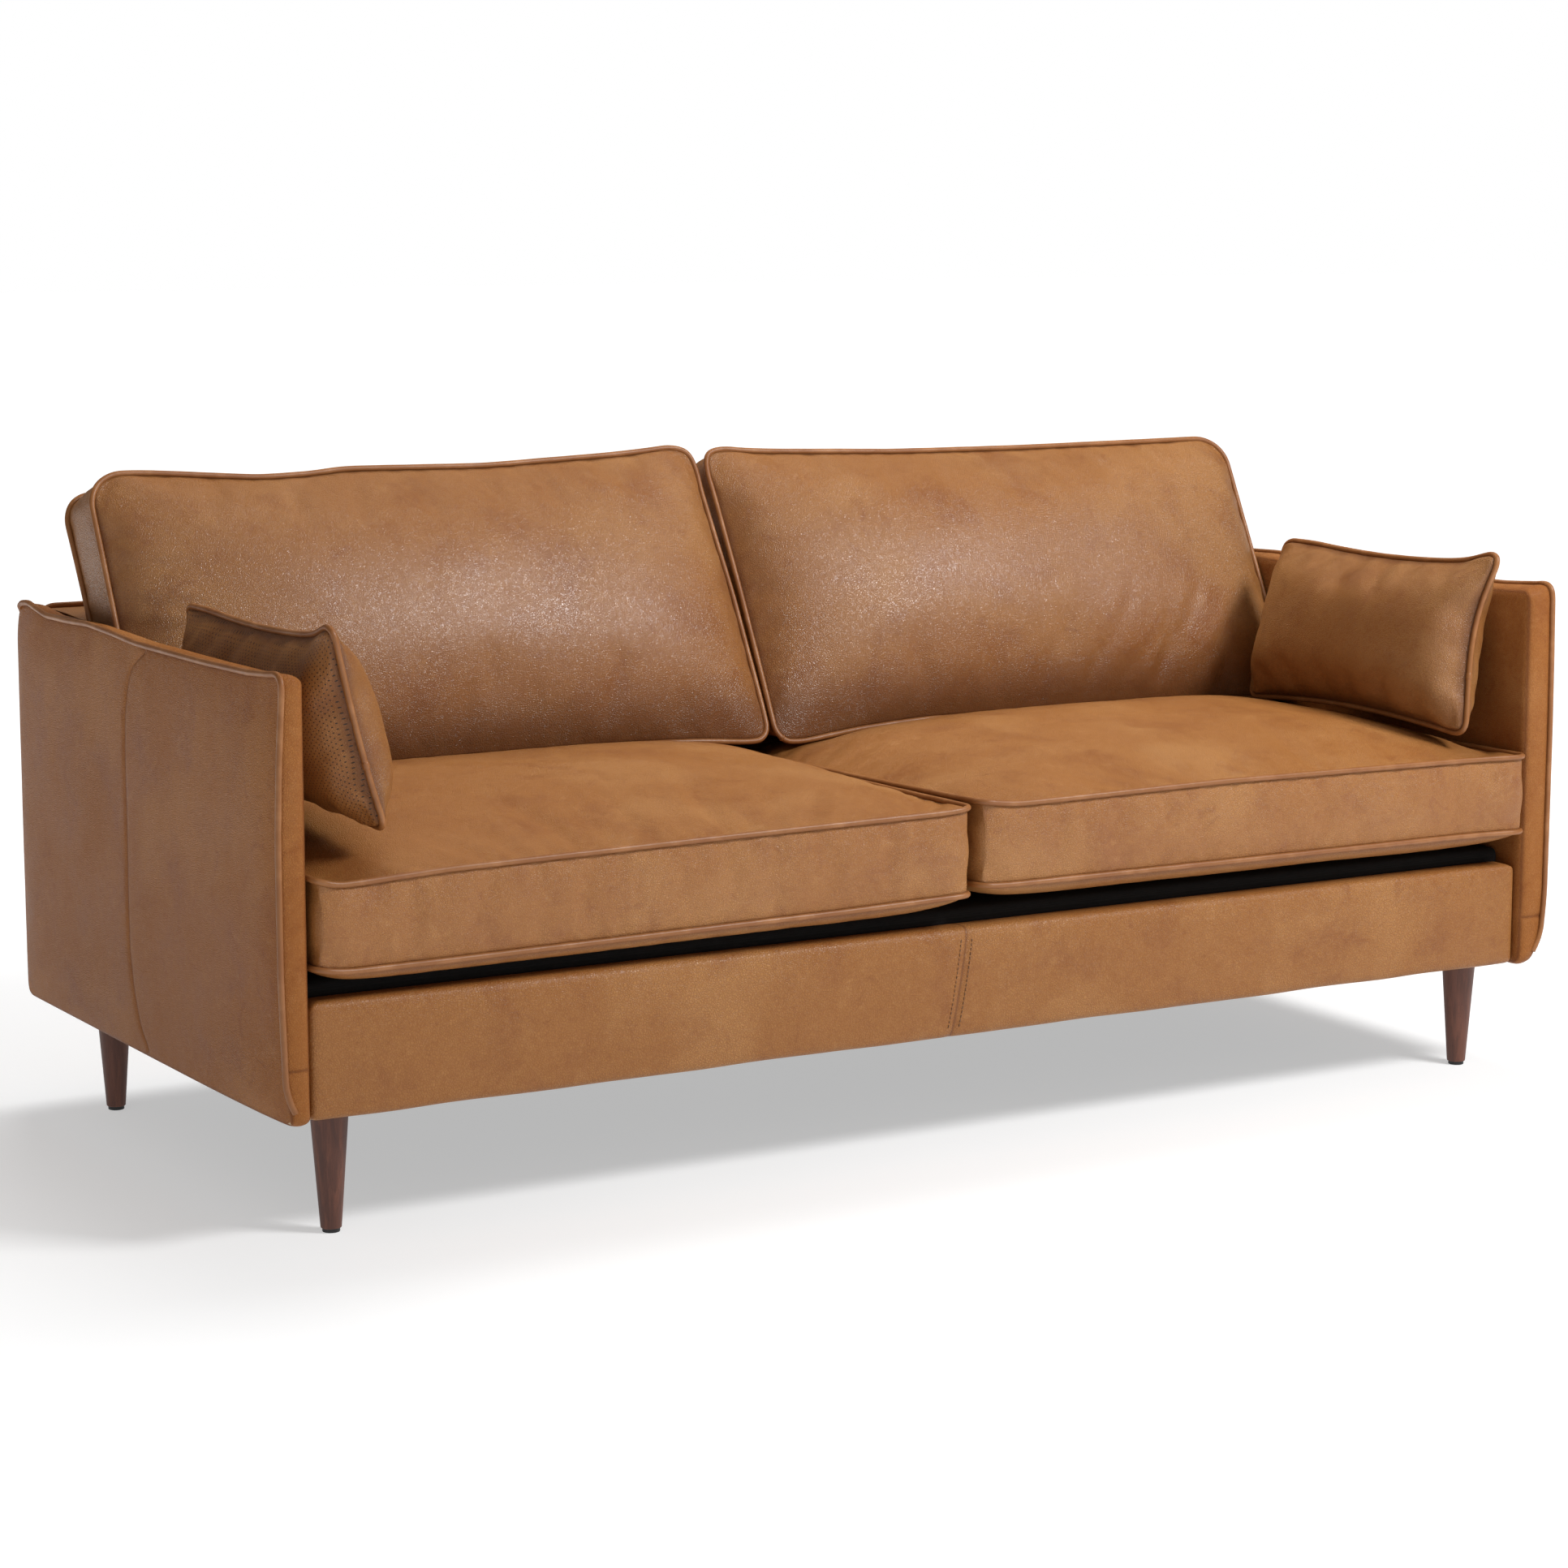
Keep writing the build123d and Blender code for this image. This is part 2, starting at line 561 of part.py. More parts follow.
for name, side in SIDES:
    back_u = mirrored((SEAT_X0, SEAT_X1), side)

    with BuildPart() as hollow:
        back_cushion(back_u, LEATHER)
    with BuildPart() as cushion_cover:
        back_cushion(back_u)
        add(hollow.part, mode=Mode.SUBTRACT)
    save(cushion_cover, f"back_cushion_cover_{name}")

    with BuildPart() as cushion_core:
        back_cushion(back_u, LEATHER + CORE_GAP)
    save(cushion_core, f"back_cushion_core_{name}")

    with BuildPart() as cushion_piping:
        low_r, top_r = BACK_CORNER_LOW + PIPING_OFF, BACK_CORNER_TOP + PIPING_OFF
        front_route = corners_of(back_u, back_v, PIPING_OFF)
        piping(lean_plane.offset(BACK_BOXING - 3), front_route, [low_r, low_r, top_r, top_r])
        low_left, low_right, top_right, top_left = corners_of(back_u, back_v, PIPING_OFF)
        foot = BACK_BOTTOM_RISE + 4
        rear_route = [(low_left[0], foot), top_left, top_right, (low_right[0], foot)]
        piping(lean_plane.offset(5), rear_route, top_r, closed=False)
    save(cushion_piping, f"back_cushion_piping_{name}")

    with BuildPart() as cushion_zipper:
        middle = (back_u[0] + back_u[1]) / 2
        underside = Plane(
            origin=rear_foot + off_lean * (BACK_BOXING / 2) + up_lean * (BACK_BOTTOM_RISE / 2),
            x_dir=(1, 0, 0),
            z_dir=-(up_lean + off_lean * bottom_slope),
        )
        with BuildSketch(underside.offset(0.3)):
            with Locations((middle, 0)):
                Rectangle(700, 12)
        extrude(amount=1.5)
    save(cushion_zipper, f"back_cushion_zipper_{name}")

# ---- lumbar pillows -----------------------------------------------------------------------------------------
pillow_u = (-PILLOW_L / 2, PILLOW_L / 2)
pillow_v = (-PILLOW_H / 2, PILLOW_H / 2)
pillow_n = (-PILLOW_EDGE, PILLOW_EDGE)
pillow_crown = (-PILLOW_HALF_T, PILLOW_HALF_T)
pillow_r = (PILLOW_CORNER_R, PILLOW_CORNER_R)
for name, side in SIDES:
    pillow_plane = Plane(
        origin=(side * PILLOW_X, PILLOW_Y[name], PILLOW_Z),
        x_dir=(0, 1, 0),
        z_dir=(cos(PILLOW_LEAN), 0, -side * sin(PILLOW_LEAN)),
    )

    with BuildPart() as hollow:
        crowned_block(pillow_plane, pillow_u, pillow_v, pillow_n, pillow_crown, pillow_r, LEATHER)
    with BuildPart() as pillow_cover:
        crowned_block(pillow_plane, pillow_u, pillow_v, pillow_n, pillow_crown, pillow_r)
        add(hollow.part, mode=Mode.SUBTRACT)
    save(pillow_cover, f"pillow_cover_{name}")

    with BuildPart() as pillow_filling:
        crowned_block(pillow_plane, pillow_u, pillow_v, pillow_n, pillow_crown, pillow_r, LEATHER + CORE_GAP)
    save(pillow_filling, f"pillow_filling_{name}")

    with BuildPart() as pillow_piping:
        piping(pillow_plane, corners_of(pillow_u, pillow_v, PIPING_OFF), PILLOW_CORNER_R + PIPING_OFF)
    save(pillow_piping, f"pillow_piping_{name}")
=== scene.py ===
"""A leather sofa on four turned legs: sewn covers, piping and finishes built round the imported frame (metres)."""
import math

import bpy
import numpy as np
from mathutils import Matrix, Vector, noise


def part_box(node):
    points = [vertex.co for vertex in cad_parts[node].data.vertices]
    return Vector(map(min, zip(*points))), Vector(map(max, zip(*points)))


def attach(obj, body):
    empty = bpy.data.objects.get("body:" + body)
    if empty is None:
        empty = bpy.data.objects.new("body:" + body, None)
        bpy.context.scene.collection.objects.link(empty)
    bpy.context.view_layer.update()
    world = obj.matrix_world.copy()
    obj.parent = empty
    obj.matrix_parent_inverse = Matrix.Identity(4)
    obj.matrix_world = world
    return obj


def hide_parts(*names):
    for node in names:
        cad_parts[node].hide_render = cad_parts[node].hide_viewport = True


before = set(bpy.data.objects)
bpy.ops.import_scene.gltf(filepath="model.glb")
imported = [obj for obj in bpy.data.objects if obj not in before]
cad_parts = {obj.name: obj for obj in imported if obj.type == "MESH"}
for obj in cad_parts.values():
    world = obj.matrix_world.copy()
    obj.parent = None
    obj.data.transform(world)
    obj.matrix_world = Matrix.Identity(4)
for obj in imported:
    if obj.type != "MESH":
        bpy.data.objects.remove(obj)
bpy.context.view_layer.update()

# ---- driving values ----
SIDES = (("left", -1), ("right", 1))
UP = (0, 0, 1)
PIPE_R = 0.0042
STEP = 0.0125  # between grid lines of a sewn panel
BESIDE_SEAM = (0.0035, 0.009, 0.018)  # grid lines beside a seam
LEAN = math.radians(27.0)
PILLOW_LEAN = math.radians(15.0)

TAN = (0.295, 0.118, 0.029)
TAN_LIGHT = (0.395, 0.184, 0.058)
TAN_DARK = (0.190, 0.057, 0.015)
# the dark of the seams, also the colour of the painted shade at the back cushions' foot
SEAM_DIRT_AND_SHADE = (0.10, 0.032, 0.012)
HOLE_DARK = (0.012, 0.006, 0.004)
PERF_PITCH = 0.0048
PERF_R = 0.15  # of the pitch

CAMERA_PLACE = (-2.718, -4.5635, 1.260)
CAMERA_YAW = 0.5336
CAMERA_DOWN = 0.1548
CAMERA_LENS = 87.8


# ---- nodes and materials ----
class Nodes:
    """The shader nodes of one tree, made and linked in short calls."""

    def __init__(self, tree):
        self.tree = tree

    def fill(self, made, inputs):
        """Sets or links a node's inputs."""
        for key, value in inputs.items():
            if isinstance(value, bpy.types.NodeSocket):
                self.tree.links.new(value, made.inputs[key])
            else:
                made.inputs[key].default_value = value

    def add(self, kind, inputs=None, **settings):
        """A shader node with its settings and inputs."""
        made = self.tree.nodes.new("ShaderNode" + kind)
        for key, value in settings.items():
            setattr(made, key, value)
        self.fill(made, inputs or {})
        return made

    def map(self, value, low, high, to_low=0.0, to_high=1.0, smooth=False):
        """A value taken from one range to another, clamped."""
        ranges = {"Value": value, "From Min": low, "From Max": high, "To Min": to_low, "To Max": to_high}
        made = self.add("MapRange", ranges, interpolation_type="SMOOTHSTEP" if smooth else "LINEAR")
        return made.outputs["Result"]

    def math(self, operation, a, b=0.0, c=0.0):
        """One arithmetic step."""
        return self.add("Math", {0: a, 1: b, 2: c}, operation=operation).outputs[0]

    def mix(self, factor, *colours):
        """Two colours mixed by a factor."""
        a, b = (c if isinstance(c, bpy.types.NodeSocket) else (*c, 1.0) for c in colours)
        return self.add("Mix", {0: factor, 6: a, 7: b}, data_type="RGBA").outputs[2]

    def tint(self, under, value, low, high, amount, over, smooth=False):
        """A colour with another laid over it, by up to an amount, as a value runs from low to high."""
        return self.mix(self.map(value, low, high, 0.0, amount, smooth), under, over)

    def bump(self, height, distance, strength, under=None):
        """A bump, on top of another if given."""
        inputs = {"Height": height, "Distance": distance, "Strength": strength}
        if under:
            inputs["Normal"] = under
        return self.add("Bump", inputs).outputs["Normal"]


class Look(Nodes):
    """A material, with its Principled shader and its object coordinates."""

    def __init__(self, name):
        self.material = bpy.data.materials.new(name)
        self.material.use_nodes = True
        super().__init__(self.material.node_tree)
        self.shader = self.tree.nodes["Principled BSDF"]
        self.place = self.add("TexCoord").outputs["Object"]

    def noise(self, scale, detail=3.0, rough=0.5, stretch=None, distortion=0.0):
        """A noise value, stretched along the axes if asked."""
        place = self.place
        if stretch:
            place = self.add("Mapping", {"Vector": place, "Scale": stretch}).outputs["Vector"]
        inputs = {"Vector": place, "Scale": scale, "Detail": detail, "Roughness": rough, "Distortion": distortion}
        return self.add("TexNoise", inputs).outputs["Fac"]

    def cells(self, scale):
        """The distance to the middle of the nearest cell."""
        return self.add("TexVoronoi", {"Vector": self.place, "Scale": scale}).outputs["Distance"]

    def finished(self, colour, rough, relief, **others):
        """The material, once its shader's inputs are set."""
        inputs = {"Base Color": colour, "Roughness": rough, "Normal": relief}
        inputs.update((key.replace("_", " "), value) for key, value in others.items())
        self.fill(self.shader, inputs)
        return self.material


def leather(name, painted_light=1.0, redder=0.0, grain=1.0, gloss=0.42, polish=0.0, perforated=False):
    """Semi-aniline hide: cloudy tan colour, pebble grain, faint scars, dirt along the seams and painted shade carried
    in the same channel; a brightness factor and redder make painted lit and shaded copies of the hide.
    """
    look = Look(name)

    # painted light and shade: each part's copy of the hide is made lighter, darker or redder
    def shade(colour):
        return tuple(c * painted_light * k for c, k in zip(colour, (1.0, 1.0 - redder, 1.0 - 0.6 * redder)))

    tan, light, dark = map(shade, (TAN, TAN_LIGHT, TAN_DARK))
    clouds = look.noise(4.2, 4.0, 0.55, distortion=0.4)
    patches = look.noise(11.0, 5.0, 0.60, distortion=0.3)
    fine = look.noise(120.0, 4.0, 0.7)
    rubs = look.noise(34.0, 5.0, 0.68, distortion=0.8)
    colour = look.tint(tan, clouds, 0.46, 0.68, 0.75, light, True)
    colour = look.tint(colour, patches, 0.52, 0.28, 0.50, dark, True)
    colour = look.tint(colour, fine, 0.35, 0.75, 0.34, light)
    colour = look.tint(colour, rubs, 0.54, 0.70, 0.40, light, True)
    colour = look.tint(colour, rubs, 0.44, 0.30, 0.35, dark, True)

    # scars and rub marks run across the hide in two directions
    for stretch, level in (((3.0, 60.0, 22.0), 0.70), ((34.0, 5.0, 70.0), 0.71)):
        streak = look.noise(1.0, 3.0, 0.6, stretch, 0.8)
        colour = look.tint(colour, streak, level, level + 0.06, 0.34, light, True)

    # the hide is darker where it turns into a seam; the same channel paints shade where the back cushions roll under
    # to their foot
    seam = look.add("Attribute", attribute_name="seam").outputs["Fac"]
    colour = look.tint(colour, seam, 0.25, 1.0, 0.62, shade(SEAM_DIRT_AND_SHADE), True)

    # pebble grain: cells about 2.5 mm across, uneven in size and depth
    warp = look.add("TexNoise", {"Vector": look.place, "Scale": 130.0, "Detail": 2.0}).outputs["Color"]
    warped = look.add("Mix", {0: 0.006, 4: look.place, 5: warp}, data_type="VECTOR", clamp_factor=False).outputs[1]
    pebbles = {"Vector": warped, "Scale": 390.0 / grain, "Randomness": 1.0}
    edges = look.add("TexVoronoi", pebbles, feature="DISTANCE_TO_EDGE").outputs["Distance"]
    pebble = look.map(edges, 0.0, 0.28, 0.0, 1.0, True)
    height = look.math("MULTIPLY", pebble, look.map(clouds, 0.35, 0.65, 0.55, 1.0))
    relief = look.bump(look.noise(42.0, 4.0, 0.6, distortion=1.4), 0.0016, 0.35)
    relief = look.bump(height, 0.00055, 0.75, relief)
    relief = look.bump(fine, 0.0002, 0.3, relief)
    colour = look.tint(colour, pebble, 0.55, 0.0, 0.40, dark)

    if perforated:  # round holes in a lattice that stands on its corner
        spot = look.add("UVMap", uv_map="panel").outputs["UV"]
        spot = look.add("VectorRotate", {"Vector": spot, "Angle": math.radians(45)}).outputs["Vector"]
        axes = look.add("SeparateXYZ", {"Vector": spot}).outputs
        away = []
        for axis in ("X", "Y"):
            cell = look.math("FRACT", look.math("DIVIDE", axes[axis], PERF_PITCH))
            away.append(look.math("SUBTRACT", cell, 0.5))
        square = look.math("MULTIPLY_ADD", away[0], away[0], look.math("POWER", away[1], 2.0))
        hole = look.map(look.math("SQRT", square), PERF_R + 0.06, PERF_R - 0.05, 0.0, 1.0, True)
        # the holes are painted near black, as painted shade inside them
        colour = look.mix(hole, colour, HOLE_DARK)
        relief = look.bump(hole, 0.0008, -1.0, relief)
    rough = look.map(patches, 0.3, 0.7, 0.37 - polish, 0.47 - polish)
    return look.finished(colour, rough, relief, Specular_IOR_Level=gloss)


def piping_leather():
    """The same hide round a cord: stretched smooth, worn lighter on top and dark in patches."""
    look = Look("piping_leather")
    wear = look.noise(22.0, 4.0, 0.6)
    stain = look.noise(9.0, 3.0, 0.6)
    colour = look.tint((0.26, 0.098, 0.026), wear, 0.44, 0.72, 0.60, (0.40, 0.176, 0.066), True)
    colour = look.tint(colour, stain, 0.52, 0.38, 0.35, TAN_DARK)
    relief = look.bump(wear, 0.0009, 0.4)
    relief = look.bump(look.cells(600.0), 0.00025, 0.4, relief)
    return look.finished(colour, look.map(wear, 0.3, 0.7, 0.5, 0.38), relief, Specular_IOR_Level=0.42)


def wood(name, dark, light, ring_scale, roughness, grain_axis=(14.0, 14.0, 1.4)):
    """Timber with its grain drawn out along one axis, fine pores and soft cloudiness."""
    look = Look(name)
    grain = look.noise(ring_scale, 6.0, 0.62, grain_axis, 0.5)
    pores = look.noise(90.0, 3.0, 0.6, tuple(v * 0.9 for v in grain_axis))
    colour = look.tint(dark, grain, 0.34, 0.68, 1.0, light, True)
    colour = look.tint(colour, pores, 0.58, 0.74, 0.7, tuple(c * 0.35 for c in dark))
    colour = look.tint(colour, look.noise(9.0, 2.0), 0.4, 0.7, 0.35, tuple(c * 0.8 for c in light))
    relief = look.bump(grain, 0.0003, 0.15, look.bump(pores, 0.0002, 0.25))
    return look.finished(colour, look.map(grain, 0.3, 0.7, roughness, roughness + 0.1), relief)


def cloth(name, dark, light, threads, roughness=0.85):
    """A plain weave: two crossed sets of threads, with slubs."""
    look = Look(name)
    thread = {"Vector": look.place, "Scale": threads, "Distortion": 0.4, "Detail": 1.0}
    warp, weft = (look.add("TexWave", thread, bands_direction=axis).outputs["Fac"] for axis in ("X", "Y"))
    weave = look.math("MULTIPLY", warp, weft)
    slub = look.noise(60.0, 4.0, 0.7)
    colour = look.tint(look.mix(weave, dark, light), slub, 0.45, 0.75, 0.4, light)
    relief = look.bump(slub, 0.0006, 0.2, look.bump(weave, 0.0004, 0.6))
    return look.finished(colour, roughness, relief)


def foam_material():
    """Open-cell foam with a fibre wrap: pale, dusty and pitted."""
    look = Look("foam_pale")
    cells = look.cells(420.0)
    colour = look.tint((0.72, 0.66, 0.46), look.noise(11.0, 4.0), 0.35, 0.7, 1.0, (0.86, 0.82, 0.68))
    colour = look.tint(colour, cells, 0.35, 0.05, 0.4, (0.5, 0.44, 0.3))
    return look.finished(colour, 0.95, look.bump(cells, 0.0006, 0.7))


def metal(name, colour, roughness):
    """Plated or oiled steel with faint drawing marks and spots."""
    look = Look(name)
    marks = look.noise(180.0, 3.0, 0.6, (1.0, 6.0, 1.0))
    colour = look.tint(colour, look.noise(35.0, 4.0, 0.7), 0.45, 0.75, 0.5, tuple(c * 0.6 for c in colour))
    rough = look.map(marks, 0.3, 0.7, roughness, roughness + 0.15)
    return look.finished(colour, rough, look.bump(marks, 0.0001, 0.3), Metallic=1.0)


def plastic_material():
    """Black moulded plastic with a fine spark-eroded texture."""
    look = Look("glide_plastic")
    texture = look.noise(900.0, 2.0)
    colour = look.tint((0.012, 0.012, 0.012), look.noise(60.0, 4.0), 0.5, 0.8, 0.5, (0.05, 0.048, 0.045))
    return look.finished(colour, look.map(texture, 0.3, 0.7, 0.45, 0.6), look.bump(texture, 0.0001, 0.5))


def zipper_material():
    """Brown woven tape with a row of coil teeth along its middle."""
    look = Look("zipper_tape")
    teeth = look.add("TexWave", {"Vector": look.place, "Scale": 160.0}, bands_direction="X").outputs["Fac"]
    weave = look.bump(look.noise(700.0, 2.0), 0.0002, 0.5)
    colour = look.tint((0.05, 0.022, 0.01), teeth, 0.4, 0.6, 1.0, (0.14, 0.075, 0.04))
    return look.finished(colour, 0.6, look.bump(teeth, 0.0005, 0.8, weave))


# hide_seat is painted lighter, and hide_back and hide_pillow darker, as painted light and shade on one hide; hide_arm
# is painted redder, as painted shade on the arms' sides
HIDE = leather("hide")
HIDE_ARM = leather("hide_arm", redder=0.07, gloss=0.08)
HIDE_PILLOW = leather("hide_pillow", painted_light=0.88, gloss=0.45)
HIDE_BACK = leather("hide_back", painted_light=0.95, gloss=0.66, polish=0.06)
HIDE_SEAT = leather("hide_seat", painted_light=1.05)
HIDE_PERFORATED = leather("hide_perforated", gloss=0.35, perforated=True)
HIDE_RAIL = leather("hide_rail", grain=1.25, gloss=0.30)
PIPING = piping_leather()
THREAD = cloth("thread", (0.16, 0.07, 0.03), (0.30, 0.15, 0.07), 900.0, 0.7)
LINING = cloth("lining_black", (0.003, 0.003, 0.003), (0.008, 0.008, 0.008), 260.0, 0.95)
SLOT_MATERIALS = {
    "leather": HIDE,
    "leather_piping": PIPING,
    "walnut": wood("walnut", (0.075, 0.022, 0.012), (0.155, 0.052, 0.028), 9.0, 0.46),
    "black_plastic": plastic_material(),
    "zinc_steel": metal("zinc_steel", (0.55, 0.54, 0.50), 0.32),
    "spring_steel": metal("spring_steel", (0.12, 0.115, 0.11), 0.38),
    "frame_timber": wood("frame_timber", (0.40, 0.24, 0.11), (0.60, 0.42, 0.24), 5.0, 0.6, (1.4, 14.0, 14.0)),
    "plywood": wood("plywood", (0.46, 0.31, 0.16), (0.66, 0.50, 0.32), 5.0, 0.55, (40.0, 2.0, 9.0)),
    "webbing": cloth("webbing_black", (0.01, 0.01, 0.01), (0.05, 0.05, 0.05), 320.0),
    "black_cloth": LINING,
    "foam": foam_material(),
    "zipper": zipper_material(),
}


# ---- sewn shells ----
def grid_lines(length, extra=(), step=STEP):
    """Places of grid lines across a panel, from its middle: close together beside its seams, then even.

    extra holds the places of further seams, which get lines beside them too.
    """
    half = length / 2
    marks = sorted([-half, *extra, half])
    lines = []
    for low, high in zip(marks, marks[1:]):
        near = BESIDE_SEAM[-1]
        count = max(2, round((high - low - 2 * near) / step))
        lines += [low, *(low + d for d in BESIDE_SEAM[:-1])]
        lines += list(np.linspace(low + near, high - near, count + 1))
        lines += [high - d for d in BESIDE_SEAM[-2::-1]]
    return np.array(lines + [half])


def closed_grid(count_u, count_v, wall_rows=0):
    """(quads, rim) of a closed mesh: two equal grids of points, the second facing back, joined round their rims.

    Rows of further points may stand between the second grid's rim and the first one's.
    """
    total = count_u * count_v
    index = np.arange(total).reshape(count_u, count_v)
    rim = np.concatenate([index[:-1, 0], index[-1, :-1], index[:0:-1, -1], index[0, :0:-1]])
    corners = (index[:-1, :-1], index[1:, :-1], index[1:, 1:], index[:-1, 1:])
    quads = list(zip(*(k.ravel() for k in corners)))
    quads += [tuple(k + total for k in quad[::-1]) for quad in quads]
    wall = 2 * total + np.arange(wall_rows * len(rim)).reshape(wall_rows, len(rim))
    loops = [rim + total, *wall, rim]
    for low, high in zip(loops, loops[1:]):
        quads += list(zip(low, np.roll(low, -1), np.roll(high, -1), high))
    return np.array(quads), rim


class Shell:
    """A sewn box in its own frame (u, v, n): an upper and a lower panel joined by boxing, as one closed mesh.

    corner holds the radii of its low and its high corners, and pinch is how far its sides pull in between them.
    """

    def __init__(self, us, vs, n_low, n_high, rows, corner, pinch=0.0):
        a, b = us[-1], vs[-1]
        grid_u, grid_v = np.meshgrid(us, vs, indexing="ij")
        s, t = np.abs(grid_u) / a, np.abs(grid_v) / b
        radius = np.where(grid_v < 0, corner[0], corner[1])
        across = np.clip((np.abs(grid_u) - (a - radius)) / radius, 0, 1)
        along = np.clip((np.abs(grid_v) - (b - radius)) / radius, 0, 1)
        round_u = radius * across * (1 - np.sqrt(1 - along**2 / 2))
        round_v = radius * along * (1 - np.sqrt(1 - across**2 / 2))
        flat_u = grid_u - np.sign(grid_u) * (round_u + pinch * s**3 * (1 - t**2))
        flat_v = grid_v - np.sign(grid_v) * (round_v + pinch * t**3 * (1 - s**2))
        inner = np.array(rows)[1:-1]
        self.quads, rim = closed_grid(*grid_u.shape, len(inner))
        total = grid_u.size
        self.panel_quads = (len(us) - 1) * (len(vs) - 1)
        self.rim_count = len(rim)
        self.upper = np.arange(total)
        self.lower = total + self.upper
        self.upper_rim, self.lower_rim = rim, rim + total

        outline = np.stack([flat_u.ravel(), flat_v.ravel()], 1)
        ring = outline[rim]
        along = np.roll(ring, -1, 0) - np.roll(ring, 1, 0)
        outward = np.stack([along[:, 1], -along[:, 0]], 1)
        outward /= np.linalg.norm(outward, axis=1)[:, None]
        self.outward = outward
        self.wall = 2 * total + np.arange(len(inner) * len(rim))
        self.wall_part = np.repeat(inner, len(rim))
        self.wall_rim = np.tile(np.arange(len(rim)), len(inner))

        size = 2 * total + len(self.wall)
        self.co = np.zeros((size, 3))
        self.co[self.upper, :2] = self.co[self.lower, :2] = outline
        self.co[self.upper, 2], self.co[self.lower, 2] = n_high, n_low
        self.co[self.wall, :2] = ring[self.wall_rim]
        self.co[self.wall, 2] = n_low + (n_high - n_low) * self.wall_part
        self.s = np.concatenate([(grid_u / a).ravel()] * 2)
        self.t = np.concatenate([(grid_v / b).ravel()] * 2)
        self.flat = np.concatenate([outline, outline])

        edge = np.minimum(a - np.abs(grid_u), b - np.abs(grid_v)).ravel()
        height = n_high - n_low
        wall_edge = np.minimum(self.wall_part, 1 - self.wall_part) * height
        self.to_seam = np.concatenate([edge, edge, wall_edge])
        steps = np.linalg.norm(np.roll(ring, -1, 0) - ring, axis=1)
        self.rim_place = np.concatenate([[0], np.cumsum(steps)[:-1]])
        self.seam = bell(self.to_seam, 0, 0.0045)

    def darken(self, amount):
        """Sets how dark the hide is, where it isn't darker already: at seams, and as painted shade."""
        self.seam = np.maximum(self.seam, amount)

    def crown(self, which, rise):
        """Raises a panel by a rise for each of its points, along the upper panel's normal."""
        self.co[which, 2] += rise

    def dome(self, which, rise, *shape):
        """Raises a panel into a dome of a shape."""
        self.crown(which, rise * dome(self.s[which], self.t[which], *shape))

    def bulge(self, amount):
        """Pushes the boxing outwards, most at its middle. amount is one number or one for each rim point."""
        amount = np.broadcast_to(amount, (self.rim_count,))[self.wall_rim]
        push = amount * 4 * self.wall_part * (1 - self.wall_part)
        self.co[self.wall, :2] += self.outward[self.wall_rim] * push[:, None]

    def spots(self):
        """Two flat coordinates of each point on its own panel, for a pattern that follows the hide."""
        wall = np.stack([self.rim_place[self.wall_rim], self.co[self.wall, 2]], 1)
        return np.concatenate([self.flat, wall])


def bell(value, centre, width):
    """1 at a centre, falling smoothly to 0."""
    return np.exp(-(((value - centre) / width) ** 2))


def groove(distance, depth, width):
    """The dip beside a seam that runs across a panel."""
    return -depth * bell(distance, 0, width)


def ramp(value, low, high):
    """0 below a low value and 1 above a high one, even between them."""
    return np.clip((value - low) / (high - low), 0, 1)


def soft_noise(points, scale, seed):
    """Smooth noise from -1 to 1 at each point, with features of about the given size in metres."""
    shift = Vector((seed * 3.17, seed * 1.71, seed * 5.13))
    return np.array([noise.noise(Vector(p) / scale + shift) for p in points])


def pucker(shell, seed, amount=0.0012, wave=0.03, reach=0.035):
    """Small gathers that start at each seam and fade into the panels and the boxing."""
    place = shell.spots()
    ripple = soft_noise(np.column_stack([place / wave, np.zeros(len(place))]), 1.0, seed)
    fade = np.exp(-shell.to_seam / reach) * (1 - np.exp(-shell.to_seam / 0.006))
    rise = amount * ripple * fade
    shell.co[shell.upper, 2] += rise[shell.upper]
    shell.co[shell.lower, 2] -= rise[shell.lower]
    shell.co[shell.wall, :2] += shell.outward[shell.wall_rim] * rise[shell.wall][:, None]


def undulate(shell, seed, amount=0.002, size=0.16):
    """Slow dents and swells of the filling under the panels."""
    swell = soft_noise(shell.co, size, seed) * np.minimum(shell.to_seam / 0.05, 1.0)
    shell.co[shell.upper, 2] += amount * swell[shell.upper]
    shell.co[shell.lower, 2] -= amount * swell[shell.lower]


def crease(shell, which, start, end, depth, width):
    """A soft fold along a line across a panel: a valley with a low ridge on each side."""
    u, v = shell.flat[which].T
    start, end = np.array(start), np.array(end)
    run = end - start
    length = np.linalg.norm(run)
    along = ((u - start[0]) * run[0] + (v - start[1]) * run[1]) / length**2
    across = ((u - start[0]) * run[1] - (v - start[1]) * run[0]) / length
    across = across + 0.25 * width * np.sin(along * 7.0)
    taper = np.clip(along * 4, 0, 1) * np.clip((1 - along) * 4, 0, 1)
    valley = bell(across, 0, width) - 0.6 * bell(np.abs(across), 1.7 * width, width)
    sign = 1 if which[0] == 0 else -1
    shell.co[which, 2] -= sign * depth * taper * valley


CLOTH = {
    "quality": 6, "mass": 0.25, "tension_stiffness": 25.0, "compression_stiffness": 25.0, "shear_stiffness": 12.0,
    "bending_stiffness": 1.2, "vertex_group_mass": "held", "use_pressure": True,
}


